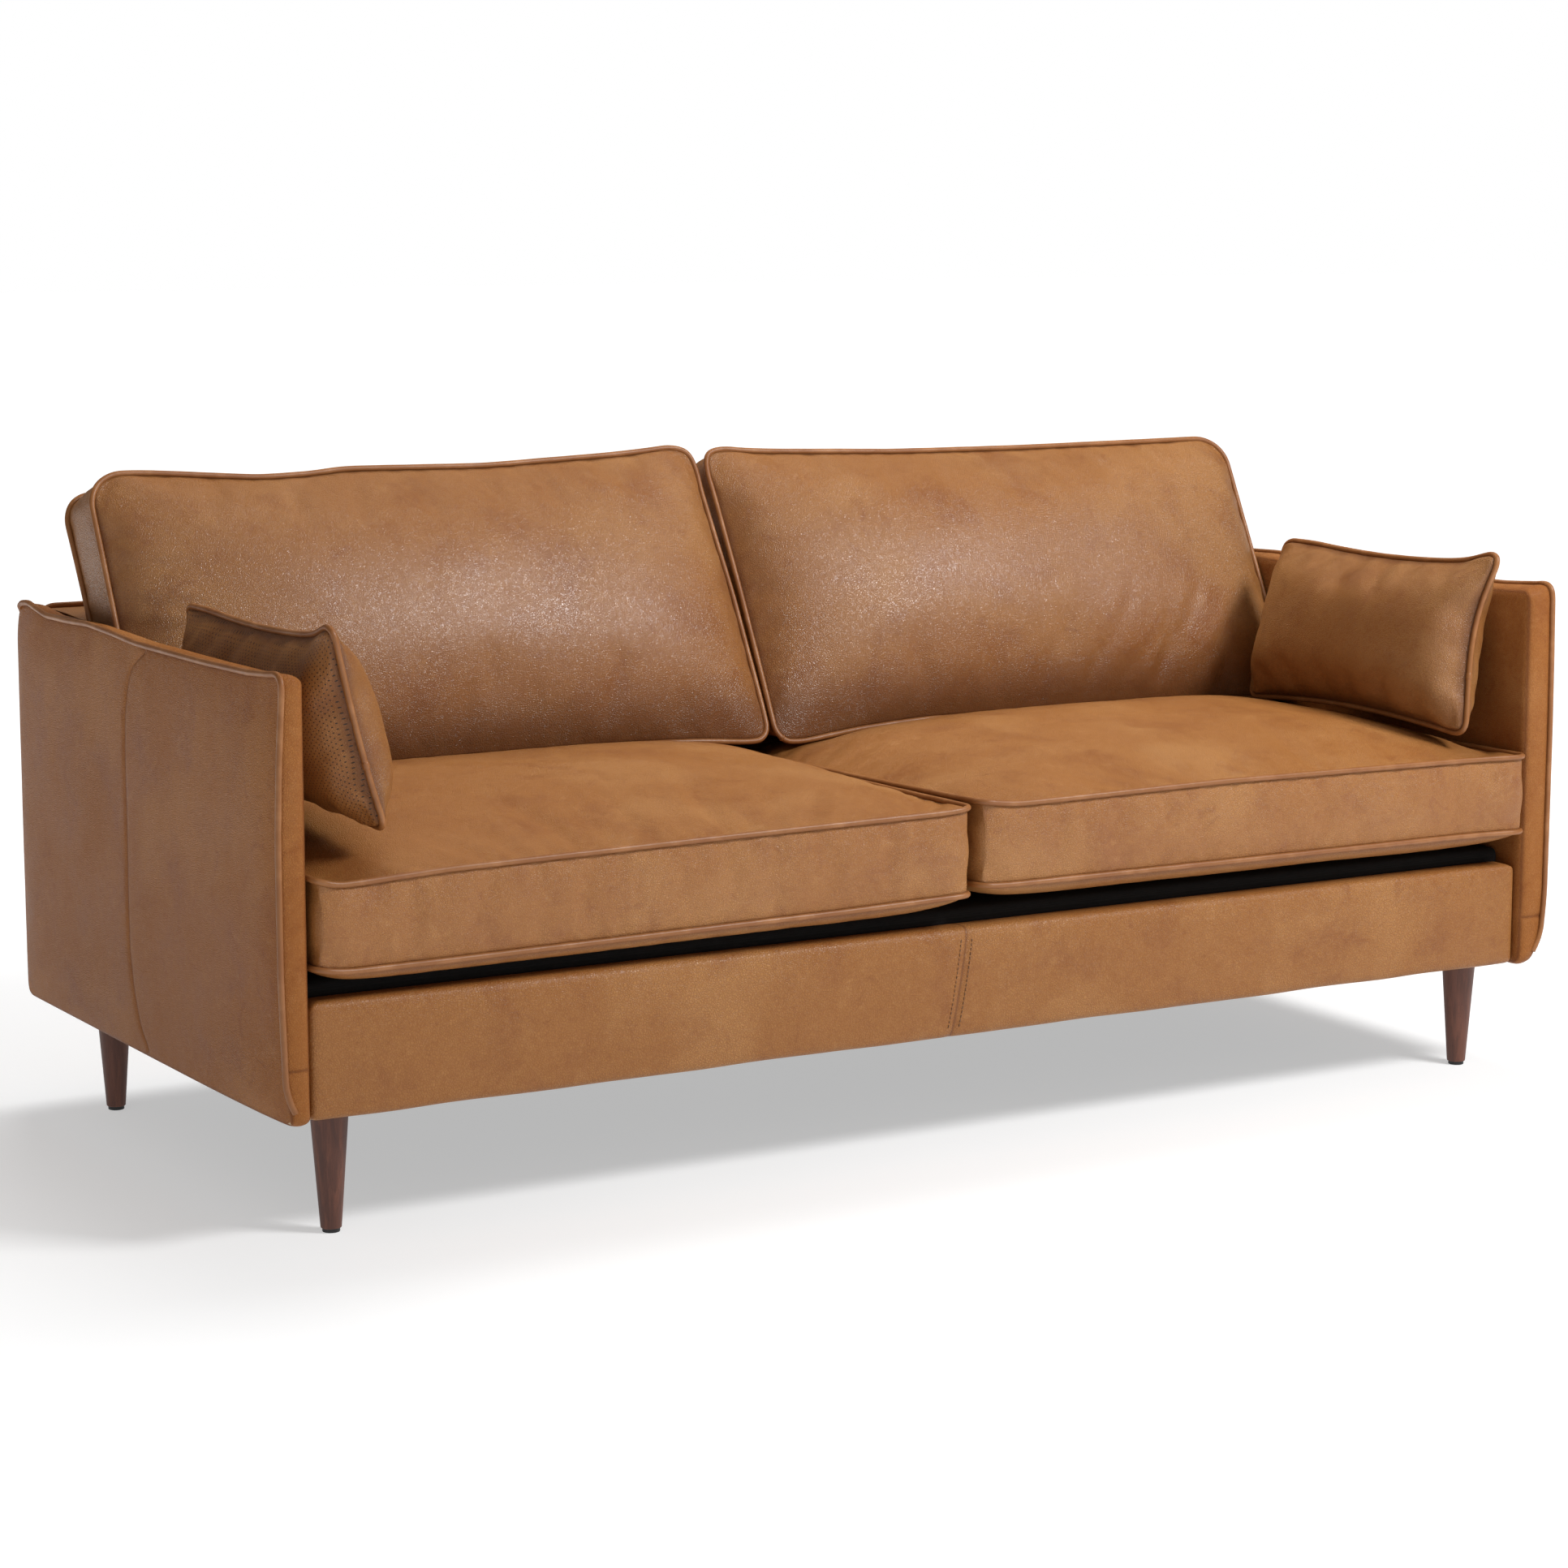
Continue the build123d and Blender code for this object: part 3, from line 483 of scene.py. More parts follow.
def inflate(jobs, frames=18):
    """Cloth simulation of the stuffed covers: their seams are held, and air pressure fills the panels.

    Each job is (shell, pressure, cap, swell), where cap is how far a point may move and swell how much spare
    hide there is to wrinkle.
    """
    scene = bpy.context.scene
    objects = []
    for number, (shell, pressure, _, swell) in enumerate(jobs):
        mesh = bpy.data.meshes.new(f"sim_{number}")
        mesh.from_pydata(shell.co.tolist(), [], shell.quads.tolist())
        piece = bpy.data.objects.new(f"sim_{number}", mesh)
        scene.collection.objects.link(piece)
        held = piece.vertex_groups.new(name="held")
        held.add([int(i) for i in np.concatenate([shell.upper_rim, shell.lower_rim])], 1.0, "REPLACE")
        cover = piece.modifiers.new("Cloth", "CLOTH")
        for key, value in {**CLOTH, "shrink_min": -swell, "uniform_pressure_force": pressure}.items():
            setattr(cover.settings, key, value)
        cover.settings.effector_weights.gravity = 0.0
        cover.collision_settings.use_collision = False
        cover.collision_settings.use_self_collision = False
        cover.point_cache.frame_end = frames
        objects.append(piece)
    for number in range(1, frames + 1):
        scene.frame_set(number)
    graph = bpy.context.evaluated_depsgraph_get()
    for piece, (shell, _, cap, _) in zip(objects, jobs):
        moved = piece.evaluated_get(graph).to_mesh()
        place = np.empty(len(moved.vertices) * 3)
        moved.vertices.foreach_get("co", place)
        shift = place.reshape(-1, 3) - shell.co
        far = np.linalg.norm(shift, axis=1)[:, None]
        shell.co += shift * (cap * np.tanh(far / cap) / np.maximum(far, 1e-9))
    scene.frame_set(1)
    for piece in objects:
        bpy.data.objects.remove(piece)


# ---- objects ----
def link_mesh(name, co, faces, materials, place=Matrix(), levels=1):
    """A mesh object in the row frame, smooth and subdivided."""
    mesh = bpy.data.meshes.new(name)
    mesh.from_pydata([place @ Vector(p) for p in co], [], [tuple(int(i) for i in f) for f in faces])
    mesh.polygons.foreach_set("use_smooth", [True] * len(mesh.polygons))
    for material in materials:
        mesh.materials.append(material)
    piece = bpy.data.objects.new(name, mesh)
    bpy.context.scene.collection.objects.link(piece)
    if levels:
        modifier = piece.modifiers.new("Subdivision", "SUBSURF")
        modifier.levels = modifier.render_levels = levels
    return piece


def link_shell(name, shell, place, materials=(HIDE,), lower_material=0, body="frame"):
    """A shell as a finished piece, with its seam darkness and painted shade values and its flat coordinates."""
    piece = link_mesh(name, shell.co, shell.quads, materials, place)
    mesh = piece.data
    seam = mesh.attributes.new("seam", "FLOAT", "POINT")
    seam.data.foreach_set("value", shell.seam)
    uv = mesh.uv_layers.new(name="panel")
    corners = np.empty(len(mesh.loops), dtype=np.int64)
    mesh.loops.foreach_get("vertex_index", corners)
    uv.data.foreach_set("uv", shell.spots()[corners].ravel())
    if lower_material:
        index = np.zeros(len(mesh.polygons), dtype=np.int32)
        index[shell.panel_quads : 2 * shell.panel_quads] = lower_material
        mesh.polygons.foreach_set("material_index", index)
    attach(piece, body)
    return piece


def tube_mesh(path, up, radius, closed, sides=10):
    """(points, faces) of a round cord along a path. up is across the plane that the path mostly lies in."""
    path = np.asarray(path, dtype=float)
    if closed:
        run = np.roll(path, -1, 0) - np.roll(path, 1, 0)
    else:
        run = np.gradient(path, axis=0)
    run /= np.linalg.norm(run, axis=1)[:, None]
    side = np.cross(run, up)
    side /= np.linalg.norm(side, axis=1)[:, None]
    top = np.cross(side, run)
    radius = np.broadcast_to(radius, (len(path),))
    angle = np.linspace(0, 2 * math.pi, sides, endpoint=False)
    ring = np.cos(angle)[None, :, None] * side[:, None] + np.sin(angle)[None, :, None] * top[:, None]
    co = (path[:, None] + ring * radius[:, None, None]).reshape(-1, 3)
    faces = []
    for k in range(len(path) if closed else len(path) - 1):
        here, there = k * sides, (k + 1) % len(path) * sides
        for m in range(sides):
            n = (m + 1) % sides
            faces.append((here + m, here + n, there + n, there + m))
    if not closed:
        faces.append(tuple(reversed(range(sides))))
        faces.append(tuple(range(len(co) - sides, len(co))))
    return co, faces


def smoothed(path, closed, times=2):
    """A path with its corners cut, evenly and gently."""
    path = np.asarray(path, dtype=float)
    for _ in range(times):
        ahead = np.roll(path, -1, 0) if closed else path[1:]
        here = path if closed else path[:-1]
        cut = np.stack([0.75 * here + 0.25 * ahead, 0.25 * here + 0.75 * ahead], 1).reshape(-1, path.shape[1])
        path = cut if closed else np.concatenate([path[:1], cut, path[-1:]])
    return path


def piping(name, path, place, body, closed=True, joint=None, seed=1):
    """Leather piping along a seam, with the short lapped joint where its two ends meet."""
    path = smoothed(path, closed)
    wobble = 1 + 0.05 * soft_noise(path, 0.03, seed)
    co, faces = tube_mesh(path, UP, PIPE_R * wobble, closed)
    if joint is not None:
        start = int(joint * len(path))
        lap = path[start : start + 5]
        swell = PIPE_R * np.array([1.02, 1.2, 1.24, 1.2, 1.02])[: len(lap)]
        lap_co, lap_faces = tube_mesh(lap, UP, swell, False)
        faces += [tuple(i + len(co) for i in f) for f in lap_faces]
        co = np.concatenate([co, lap_co])
    piece = link_mesh(name, co, faces, (PIPING,), place)
    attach(piece, body)
    return piece


def rim_path(shell, rim, out, up):
    """The line of a piping outside a rim: moved outwards and along the normal."""
    path = shell.co[rim].copy()
    path[:, :2] += shell.outward * out
    path[:, 2] += up
    return path


def frame_matrix(origin, u, v):
    """The placement of a frame whose axes are u, v and u x v."""
    u, v = Vector(u).normalized(), Vector(v).normalized()
    n = u.cross(v)
    rotation = Matrix((u, v, n)).transposed().to_4x4()
    return Matrix.Translation(Vector(origin)) @ rotation


def rounded(shell, low, high, radius):
    """Rounds the shell's edges, except towards limits set far away."""
    low, high = np.array(low) + radius, np.array(high) - radius
    core = np.clip(shell.co, low, high)
    off = shell.co - core
    length = np.linalg.norm(off, axis=1)[:, None]
    shell.co = core + off * np.where(length > radius, radius / np.maximum(length, 1e-9), 1.0)


def hold_walls(shell, base, limits):
    """Keeps the boxing within a distance of its flat place. limits: (low u, high u, low v, high v)."""
    wall = shell.wall
    face = shell.outward[shell.wall_rim]
    limit = np.where(face[:, 0] < 0, limits[0], limits[1]) * face[:, 0] ** 2
    limit = limit + np.where(face[:, 1] < 0, limits[2], limits[3]) * face[:, 1] ** 2
    out = ((shell.co[wall, :2] - base[wall, :2]) * face).sum(1)
    held = np.where(out > 0, limit * np.tanh(out / np.maximum(limit, 1e-6)), np.maximum(out, -0.004))
    shell.co[wall, :2] += face * (held - out)[:, None]


def soft_limit(value, limit, sharp=0.003):
    """A value kept below a limit, turning smoothly as it nears it."""
    over = np.clip((value - limit) / sharp, -40, 40)
    return value - sharp * np.log1p(np.exp(over))


def dome(s, t, power_s, power_t, sag=0.0, full=1.0):
    """The height of a filled panel, 1 near its middle and 0 at its seams.

    sag moves the fullest place down, and a lower full makes the panel rise more steeply from its seams.
    """
    t = t + sag * (1 - t**2)
    return ((1 - np.abs(s) ** power_s) * (1 - np.abs(t) ** power_t)) ** full


def belly(s, t, peak):
    """The height of a leaning cushion's front: fullest low down, then rolling under steeply to its foot."""
    w = (t + 1) / 2
    below = (1 - (np.clip(peak - w, 0, None) / peak) ** 2.6) ** 0.60
    above = (1 - (np.clip(w - peak, 0, None) / (1 - peak)) ** 2.0) ** 0.62
    return np.where(w < peak, below, above) * (1 - np.abs(s) ** 3.6) ** 0.56


def scaled_crown(shell, which, seam_n, height):
    """Brings a panel's highest point to a height above its seam, so that each run gives the same fullness."""
    rise = shell.co[which, 2] - seam_n
    shell.co[which, 2] = seam_n + rise * (height / np.abs(rise).max())


FAR = 9.0  # a limit out of reach
shells = {}

# ---- seat cushions: box cushions with crowned panels and piping round both seams ----
SEAT_Y = (-0.4529, 0.222)
SEAT_X = (0.0081, 0.9324)
SEAT_N = (0.3475, 0.4555)
SEAT_RISE = 0.057
SEAT_BELLY = 0.0275
seat_us = grid_lines(SEAT_X[1] - SEAT_X[0])
seat_vs = grid_lines(SEAT_Y[1] - SEAT_Y[0])
seat_rows = (0, 0.05, 0.14, 0.28, 0.43, 0.57, 0.72, 0.86, 0.95, 1)
for name, side in SIDES:
    shell = Shell(seat_us, seat_vs, *SEAT_N, seat_rows, (0.018, 0.022), pinch=0.001)
    shell.base = shell.co.copy()
    shell.dome(shell.upper, 0.044, 3.4, 2.6, -0.12, 0.9)
    shell.dome(shell.lower, -0.020, 4.5, 8.0, 0.0, 0.9)
    shell.bulge(0.003)
    shells[f"seat_{name}"] = shell

# ---- back cushions: leaning box cushions, fullest low down ----
BACK_V = 0.436
BACK_N = (0.005, 0.092)
BACK_RISE = 0.082
BACK_SLANT = 0.0285
back_us = seat_us
back_vs = grid_lines(BACK_V)
back_rows = (0, 0.06, 0.18, 0.34, 0.5, 0.66, 0.82, 0.94, 1)
for name, side in SIDES:
    shell = Shell(back_us, back_vs, *BACK_N, back_rows, (0.020, 0.050), pinch=0.001)
    low = (1 - shell.co[:, 1] / (BACK_V / 2)) / 2
    rear = 1 - (shell.co[:, 2] - BACK_N[0]) / (BACK_N[1] - BACK_N[0])
    shell.co[:, 1] += BACK_SLANT * low * rear
    shell.base = shell.co.copy()
    shell.crown(shell.upper, 0.077 * belly(shell.s[shell.upper], shell.t[shell.upper], 0.52))
    shell.dome(shell.lower, -0.004, 4.0, 3.0, -0.3)
    shell.bulge(0.003)
    shells[f"back_{name}"] = shell

# ---- pillows: two panels seamed at a knife edge, with ears at their corners ----
PILLOW = (0.470, 0.246)
PILLOW_HALF = 0.066
for name, side in SIDES:
    shell = Shell(grid_lines(PILLOW[0]), grid_lines(PILLOW[1]), -0.002, 0.002, (0, 0.5, 1), (0.022, 0.024), 0.013)
    for which, rise in ((shell.upper, 0.056), (shell.lower, -0.056)):
        shell.dome(which, rise, 3.6, 2.3, 0.10, 0.44)
    shells[f"pillow_{name}"] = shell

STUFFING = {"seat": (4.0, 0.022, 0.02), "back": (4.0, 0.014, 0.012), "pillow": (3.0, 0.014, 0.05)}
inflate([(shells[f"{kind}_{name}"], *how) for kind, how in STUFFING.items() for name, _ in SIDES])

# ---- seat cushions, finished ----
SEAT_WAVE = {
    # (x, lift) of the upper and the lower seam along the front
    "left": (
        (
            (-0.940, -0.001), (-0.920, -0.014), (-0.880, -0.014), (-0.757, -0.008), (-0.420, -0.003),
            (-0.04, 0.001), (0, 0.005),
        ),
        ((-0.940, -0.002), (-0.900, -0.009), (-0.760, -0.009), (-0.200, -0.004), (0, 0.0)),
    ),
    "right": (
        ((0.000, 0.012), (0.020, 0.009), (0.060, 0.004), (0.110, 0.004), (0.400, 0.007), (0.940, 0.002)),
        ((0.000, 0.011), (0.040, 0.008), (0.500, 0.006), (0.940, 0.005)),
    ),
}
BACK_WAVE = {
    # (x, lift) of the top and the foot, and (height up the lean, shift) of the side by the sofa's middle
    "left": (
        (
            (-0.94, -0.003), (-0.85, -0.004), (-0.69, -0.017), (-0.62, -0.015), (-0.56, -0.009),
            (-0.35, -0.013), (-0.13, -0.004), (-0.05, 0.002), (0, -0.002),
        ),
        ((-0.94, -0.008), (-0.88, -0.011), (-0.70, 0), (-0.25, 0), (-0.12, -0.004), (-0.03, -0.012), (0, -0.008)),
        ((0, 0.005), (0.05, 0.006), (0.21, 0.003), (0.38, -0.009), (0.44, -0.010)),
    ),
    "right": (
        ((0, -0.006), (0.03, -0.003), (0.11, -0.009), (0.33, -0.017), (0.55, -0.019), (0.94, -0.017)),
        ((0, -0.012), (0.04, -0.018), (0.15, -0.006), (0.25, 0), (0.70, 0), (0.88, -0.011), (0.94, -0.008)),
        ((0, 0.005), (0.05, 0.005), (0.21, 0.003), (0.44, -0.003)),
    ),
}


def wave(points, x):
    """A smooth height at x through a few points."""
    xs, heights = zip(*points)
    spread = np.linspace(-0.02, 0.02, 9)
    return np.mean([np.interp(x + d, xs, heights) for d in spread], axis=0)


for name, side in SIDES:
    shell = shells[f"seat_{name}"]
    scaled_crown(shell, shell.upper, SEAT_N[1], SEAT_RISE)
    scaled_crown(shell, shell.lower, SEAT_N[0], SEAT_BELLY)
    full = SEAT_N[0] - SEAT_BELLY * dome(shell.s[shell.lower], shell.t[shell.lower], 9.0, 11.0, 0.0, 0.42)
    shell.co[shell.lower, 2] = np.minimum(shell.co[shell.lower, 2], full)
    hold_walls(shell, shell.base, (0.003, 0.003, 0.009, 0.0002))
    undulate(shell, 3 + side, 0.0022, 0.17)
    pucker(shell, 5 + side, 0.0011)
    middle = (side * (SEAT_X[0] + SEAT_X[1]) / 2, (SEAT_Y[0] + SEAT_Y[1]) / 2)
    x, y, z = (shell.co + np.array([*middle, 0])).T
    shell.co[:, 0] += 0.0032 * np.clip(1 - np.abs(x) / 0.12, 0, 1) * np.clip((-0.15 - y) / 0.3, 0, 1)
    part = ramp(z, *SEAT_N)
    # the outer front corner swells out until it meets the arm
    swell = bell(x, side * SEAT_X[1], 0.06) * bell(y, SEAT_Y[0], 0.05) * (1 if side > 0 else 0.4)
    shell.co[:, 0] += side * 0.0008 * swell
    shell.co[:, 1] -= 0.009 * swell
    front = ramp(y, 0.1, SEAT_Y[0]) ** 1.5
    above, below = SEAT_WAVE[name]
    shell.co[:, 2] += front * (part * wave(above, x) + (1 - part) * wave(below, x))
    # the back cushion presses the rear of the seat, and the deck flattens its underside
    press = 0.4945 - 0.1815 * (y - 0.079) + 1.3 * np.clip(0.062 - y, 0, None)
    foot = wave(BACK_WAVE[name][1], x)
    nook = 0.4890 + 0.89 * foot + 0.9 * np.clip(np.abs(y - 0.077 - 0.45 * foot) - 0.010, 0, None)
    press = np.minimum(press, nook)
    shell.co[shell.upper, 2] = soft_limit(shell.co[shell.upper, 2], press[shell.upper])
    shell.co[shell.lower, 2] = -soft_limit(-shell.co[shell.lower, 2], -0.3185)

    place = Matrix.Translation((*middle, 0))
    body = f"seat_cushion_{name}"
    cover = link_shell(f"seat_cushion_sewn_{name}", shell, place, (HIDE_SEAT,), body=body)
    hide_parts(f"seat_cushion_cover_{name}", f"seat_cushion_core_{name}")
    for level, rim, up, joint in (("upper", shell.upper_rim, 0.0015, 0.41), ("lower", shell.lower_rim, -0.0015, 0.64)):
        path = rim_path(shell, rim, 0.0022, up)
        piping(f"seat_piping_{level}_{name}", path, place, body, joint=joint, seed=side)
    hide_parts(f"seat_cushion_piping_{name}")

# ---- back cushions, finished ----
lean_up = Vector((0, math.sin(LEAN), math.cos(LEAN)))
lean_out = Vector((0, -math.cos(LEAN), math.sin(LEAN)))
rear_foot = Vector((0, 0.079, 0.497)) - lean_out * 0.095
for name, side in SIDES:
    shell = shells[f"back_{name}"]
    scaled_crown(shell, shell.upper, BACK_N[1], BACK_RISE)
    hold_walls(shell, shell.base, (0.003, 0.003, 0.0002, 0.008))
    undulate(shell, 13 + side, 0.003, 0.17)
    pucker(shell, 17 + side, 0.0010)
    if name == "left":
        for level, depth in ((0.075, 0.004), (0.050, 0.003), (0.020, 0.0045), (-0.012, 0.003)):
            crease(shell, shell.upper, (-0.455, level), (-0.34, level - 0.022), depth, 0.009)
        crease(shell, shell.upper, (0.06, -0.02), (0.16, -0.055), 0.0008, 0.006)
    else:
        for start, top, depth in (
            (0.04, -0.06, 0.0016), (0.13, -0.05, 0.0026), (0.20, -0.09, 0.0018), (0.26, -0.04, 0.0030),
            (0.33, -0.08, 0.0022),
        ):
            crease(shell, shell.upper, (start - 0.06, -0.205), (start + 0.04, top), depth, 0.011)
    middle = side * (SEAT_X[0] + SEAT_X[1]) / 2
    top, foot, inner = BACK_WAVE[name]
    x, v = shell.co[:, 0] + middle, shell.co[:, 1] + BACK_V / 2
    part = ramp(shell.co[:, 2], *BACK_N)
    shell.co[:, 1] += wave(top, x) * np.clip(v / BACK_V, 0, 1) ** 3
    shell.co[:, 1] += wave(foot, x) * np.clip(1 - v / 0.10, 0, 1) * part
    shell.co[:, 0] += wave(inner, v) * np.clip(1 - np.abs(x) / 0.15, 0, 1)
    # the inner top corner is tighter than the outer one
    corner = bell(x, side * SEAT_X[0], 0.03) * bell(v, BACK_V, 0.03)
    shell.co[:, 0] -= side * 0.011 * corner
    shell.co[:, 1] += 0.013 * corner
    # painted shade: the hide is painted darker where it rolls under to the foot, through the seam channel
    front = np.isin(np.arange(len(v)), shell.upper)
    shell.darken(np.where(front, bell(v, 0, 0.078), 0))
    # the rear seam's top corners stand up behind the front ones
    corner = bell(x, side * SEAT_X[1], 0.07) * bell(v, BACK_V, 0.09) * (1 - part)
    shell.co[:, 0] += side * 0.004 * corner
    shell.co[:, 1] += 0.012 * corner
    # the underside stays cut to the seat, and the rear stays clear of the frame's slope
    lower = shell.co[shell.lower]
    depth = np.interp(lower[:, 1] + BACK_V / 2, (0.0, 0.27, 0.33, BACK_V), (0.0025, 0.0025, 0.012, 0.012))
    shell.co[shell.lower, 2] = -soft_limit(-lower[:, 2], depth - BACK_N[0], 0.002)
    origin = rear_foot + lean_up * (BACK_V / 2) + Vector((middle, 0, 0))
    place = frame_matrix(origin, (1, 0, 0), lean_up)
    body = f"back_cushion_{name}"
    cover = link_shell(f"back_cushion_sewn_{name}", shell, place, (HIDE_BACK,), body=body)
    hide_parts(f"back_cushion_cover_{name}", f"back_cushion_core_{name}")
    path = rim_path(shell, shell.upper_rim, 0.0022, 0.0012)
    cord = piping(f"back_piping_front_{name}", path, place, body, joint=0.0, seed=4 + side)
    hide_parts(f"back_cushion_piping_{name}")
    path = rim_path(shell, shell.lower_rim, 0.0022, -0.0008)
    start = len(back_us) - 1  # the rear cord runs up one side, along the top and down the other
    path = path[start : start + len(back_vs) + len(back_us) + len(back_vs) - 2]
    piping(f"back_piping_rear_{name}", path, place, body, closed=False, seed=6 + side)

# ---- pillows, finished ----
for name, side in SIDES:
    shell = shells[f"pillow_{name}"]
    for which in (shell.upper, shell.lower):
        scaled_crown(shell, which, 0.0, PILLOW_HALF)
    pucker(shell, 23 + side, 0.0022, 0.024, 0.04)
    undulate(shell, 29 + side, 0.003, 0.09)
    # the top front corner stands up as an ear, the rear one lies lower, and the foot's front tucks in
    u, v = shell.co[:, 0].copy(), shell.co[:, 1].copy()
    half_u, half_v = PILLOW[0] / 2, PILLOW[1] / 2
    shell.co[:, 1] += 0.013 * bell(u, -half_u, 0.045) * bell(v, half_v, 0.07)
    shell.co[:, 1] -= 0.006 * bell(u, half_u, 0.05) * bell(v, half_v, 0.07)
    front_foot = bell(u, -half_u, 0.08) * bell(v, -half_v, 0.12)
    shell.co[:, 0] += (0.016 if side < 0 else -0.010) * front_foot
    shell.co[:, 2] += (0.004 if side < 0 else 0.012) * front_foot
    shell.co[:, 0] -= 0.012 * bell(u, -half_u, 0.06) * bell(v, half_v, 0.05) * (side > 0)
    for along in (-0.12, 0.02, 0.13):
        crease(shell, shell.upper, (along, -0.115), (along + 0.02, -0.05), 0.002, 0.008)
    origin = (side * 0.862, {"left": -0.200, "right": -0.188}[name], 0.616)
    place = frame_matrix(origin, (0, 1, 0), (side * math.sin(PILLOW_LEAN), 0, math.cos(PILLOW_LEAN)))
    body = f"pillow_{name}"
    cover = link_shell(f"pillow_sewn_{name}", shell, place, (HIDE_PILLOW, HIDE_PERFORATED), 1 if side < 0 else 0, body)
    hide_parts(f"pillow_cover_{name}", f"pillow_filling_{name}")
    path = (rim_path(shell, shell.upper_rim, 0.0028, 0) + rim_path(shell, shell.lower_rim, 0.0028, 0)) / 2
    cord = piping(f"pillow_piping_sewn_{name}", path, place, body, joint=0.93, seed=8 + side)
    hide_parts(f"pillow_piping_{name}")

# ---- arms: thin padded slabs, piped along their top and down their front ----
ARM_Y = (-0.449, 0.454)
ARM_Z = (0.153, 0.688)
ARM_X = (0.9405, 0.9738)
ARM_NIP = {
    # (z, shift) of the front edge's piping: full at its middle, drawn in at its foot
    "left": (
        (0.150, -0.014), (0.160, -0.006), (0.20, -0.001), (0.33, 0.003), (0.50, 0.003), (0.59, 0), (0.688, -0.0065),
    ),
    "right": (
        (0.150, -0.014), (0.160, -0.006), (0.18, 0.003), (0.25, 0.010), (0.49, 0.011), (0.60, 0.010), (0.688, 0.008),
    ),
}
# (z, y) of the outer panel's vertical seam, and (y, lift) of the top edge
ARM_SEAM = (
    (0.153, 0.166, 0.19, 0.243, 0.285, 0.593, 0.637, 0.662, 0.688),
    (-0.010, -0.005, 0.013, 0.026, 0.032, 0.032, 0.024, 0.010, -0.05),
)
ARM_LIFT = (
    (-0.455, -0.42, -0.36, -0.22, 0.0, 0.09, 0.17, 0.25, 0.33, 0.40, 0.454),
    (0.010, 0.005, 0.001, -0.001, -0.001, 0.004, 0.007, 0.004, 0.003, 0.014, 0.010),
)
ARM_SEAM_Y = 0.030
BAND_SEAM_Z = 0.222
arm_middle = (sum(ARM_Y) / 2, sum(ARM_Z) / 2)
for name, side in SIDES:
    us = grid_lines(ARM_Y[1] - ARM_Y[0], (side * (ARM_SEAM_Y - arm_middle[0]),))
    vs = grid_lines(ARM_Z[1] - ARM_Z[0], (BAND_SEAM_Z - arm_middle[1],))
    shell = Shell(us, vs, *ARM_X, (0, 0.12, 0.3, 0.5, 0.7, 0.88, 1), (0.018, 0.018))
    vs_rear = (ARM_Y[1] - ARM_Y[0]) / 2 - 0.012
    rounded(shell, (us[0], vs[0], ARM_X[0]), (us[-1], vs[-1], FAR), 0.009)
    shell.dome(shell.upper, 0.010, 8.0, 4.0, 0.0, 0.7)
    shell.bulge(0.003)
    # the vertical seam of the outer panel swings forward at its top and bottom
    y, z = side * shell.co[:, 0] + arm_middle[0], shell.co[:, 1] + arm_middle[1]
    upper = np.isin(np.arange(len(y)), shell.upper)
    shift = (np.interp(z, *ARM_SEAM) - ARM_SEAM_Y) * bell(y, ARM_SEAM_Y, 0.10)
    away = np.abs(y - ARM_SEAM_Y)
    shell.co[:, 0] += side * np.where(upper, shift, 0) * np.clip(shell.to_seam / 0.004, 0, 1)
    inside = np.clip(shell.to_seam / 0.01, 0, 1)
    shell.co[:, 2] += np.where(upper, groove(away, 0.0024, 0.0042) * inside, 0)
    shell.darken(np.where(upper, 0.8 * bell(away, 0, 0.003), 0))
    # the front band is closed by a short level seam near its foot
    wall = np.isin(np.arange(len(y)), shell.wall) & (y < -0.43)
    level = np.abs(z - BAND_SEAM_Z)
    shell.co[:, 0] += side * np.where(wall, -groove(level, 0.0022, 0.0035), 0)
    shell.darken(np.where(wall, bell(level, 0, 0.0028), 0))
    # the leather is drawn in at the top and foot of the front, and stands up into ears at the top corners
    part = (shell.co[:, 2] - ARM_X[0]) / (ARM_X[1] - ARM_X[0])
    nip = wave(ARM_NIP[name], z)
    shell.co[:, 2] += nip * part * np.exp(-np.clip(y - ARM_Y[0], 0, None) / 0.10)
    lift = np.interp(y, *ARM_LIFT)
    if side > 0:
        lift = lift + np.interp(y, (-0.45, -0.1, 0.1), (0.005, 0.004, 0))
    shell.co[:, 1] += lift * np.clip((z - 0.56) / 0.12, 0, 1) ** 2 * (0.4 + 0.6 * part)
    shell.co[:, 0] -= side * 0.016 * bell(y, 0.454, 0.03) * np.clip((z - 0.640) / 0.048, 0, 1) ** 2
    undulate(shell, 31 + side, 0.0016, 0.13)
    pucker(shell, 37 + side, 0.0009)
    origin = (0, arm_middle[0], arm_middle[1])
    place = frame_matrix(origin, (0, side, 0), UP)
    cover = link_shell(f"arm_sewn_{name}", shell, place, (HIDE_ARM,))
    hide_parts(f"arm_cover_{name}", f"arm_padding_{name}")
    # the piping follows the top and the front; the hide is folded round the foot and the rear
    path = rim_path(shell, shell.upper_rim, 0.0016, 0.0016)
    ahead, above = side * path[:, 0], path[:, 1]
    bare = (above < vs[0] + 0.012) | ((ahead > vs_rear) & (above < vs[-1] - 0.006))
    first = next(i for i in range(len(path)) if bare[i - 1] and not bare[i])
    path = np.roll(path, -first, axis=0)[: len(path) - int(bare.sum())]
    for end in (slice(0, 3), slice(-1, -4, -1)):  # the ends are tucked into the cover
        path[end, 2] -= np.array([0.007, 0.004, 0.0015])
    cord = piping(f"arm_piping_sewn_{name}", path, place, "frame", closed=False, seed=10 + side)
    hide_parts(f"arm_piping_{name}")

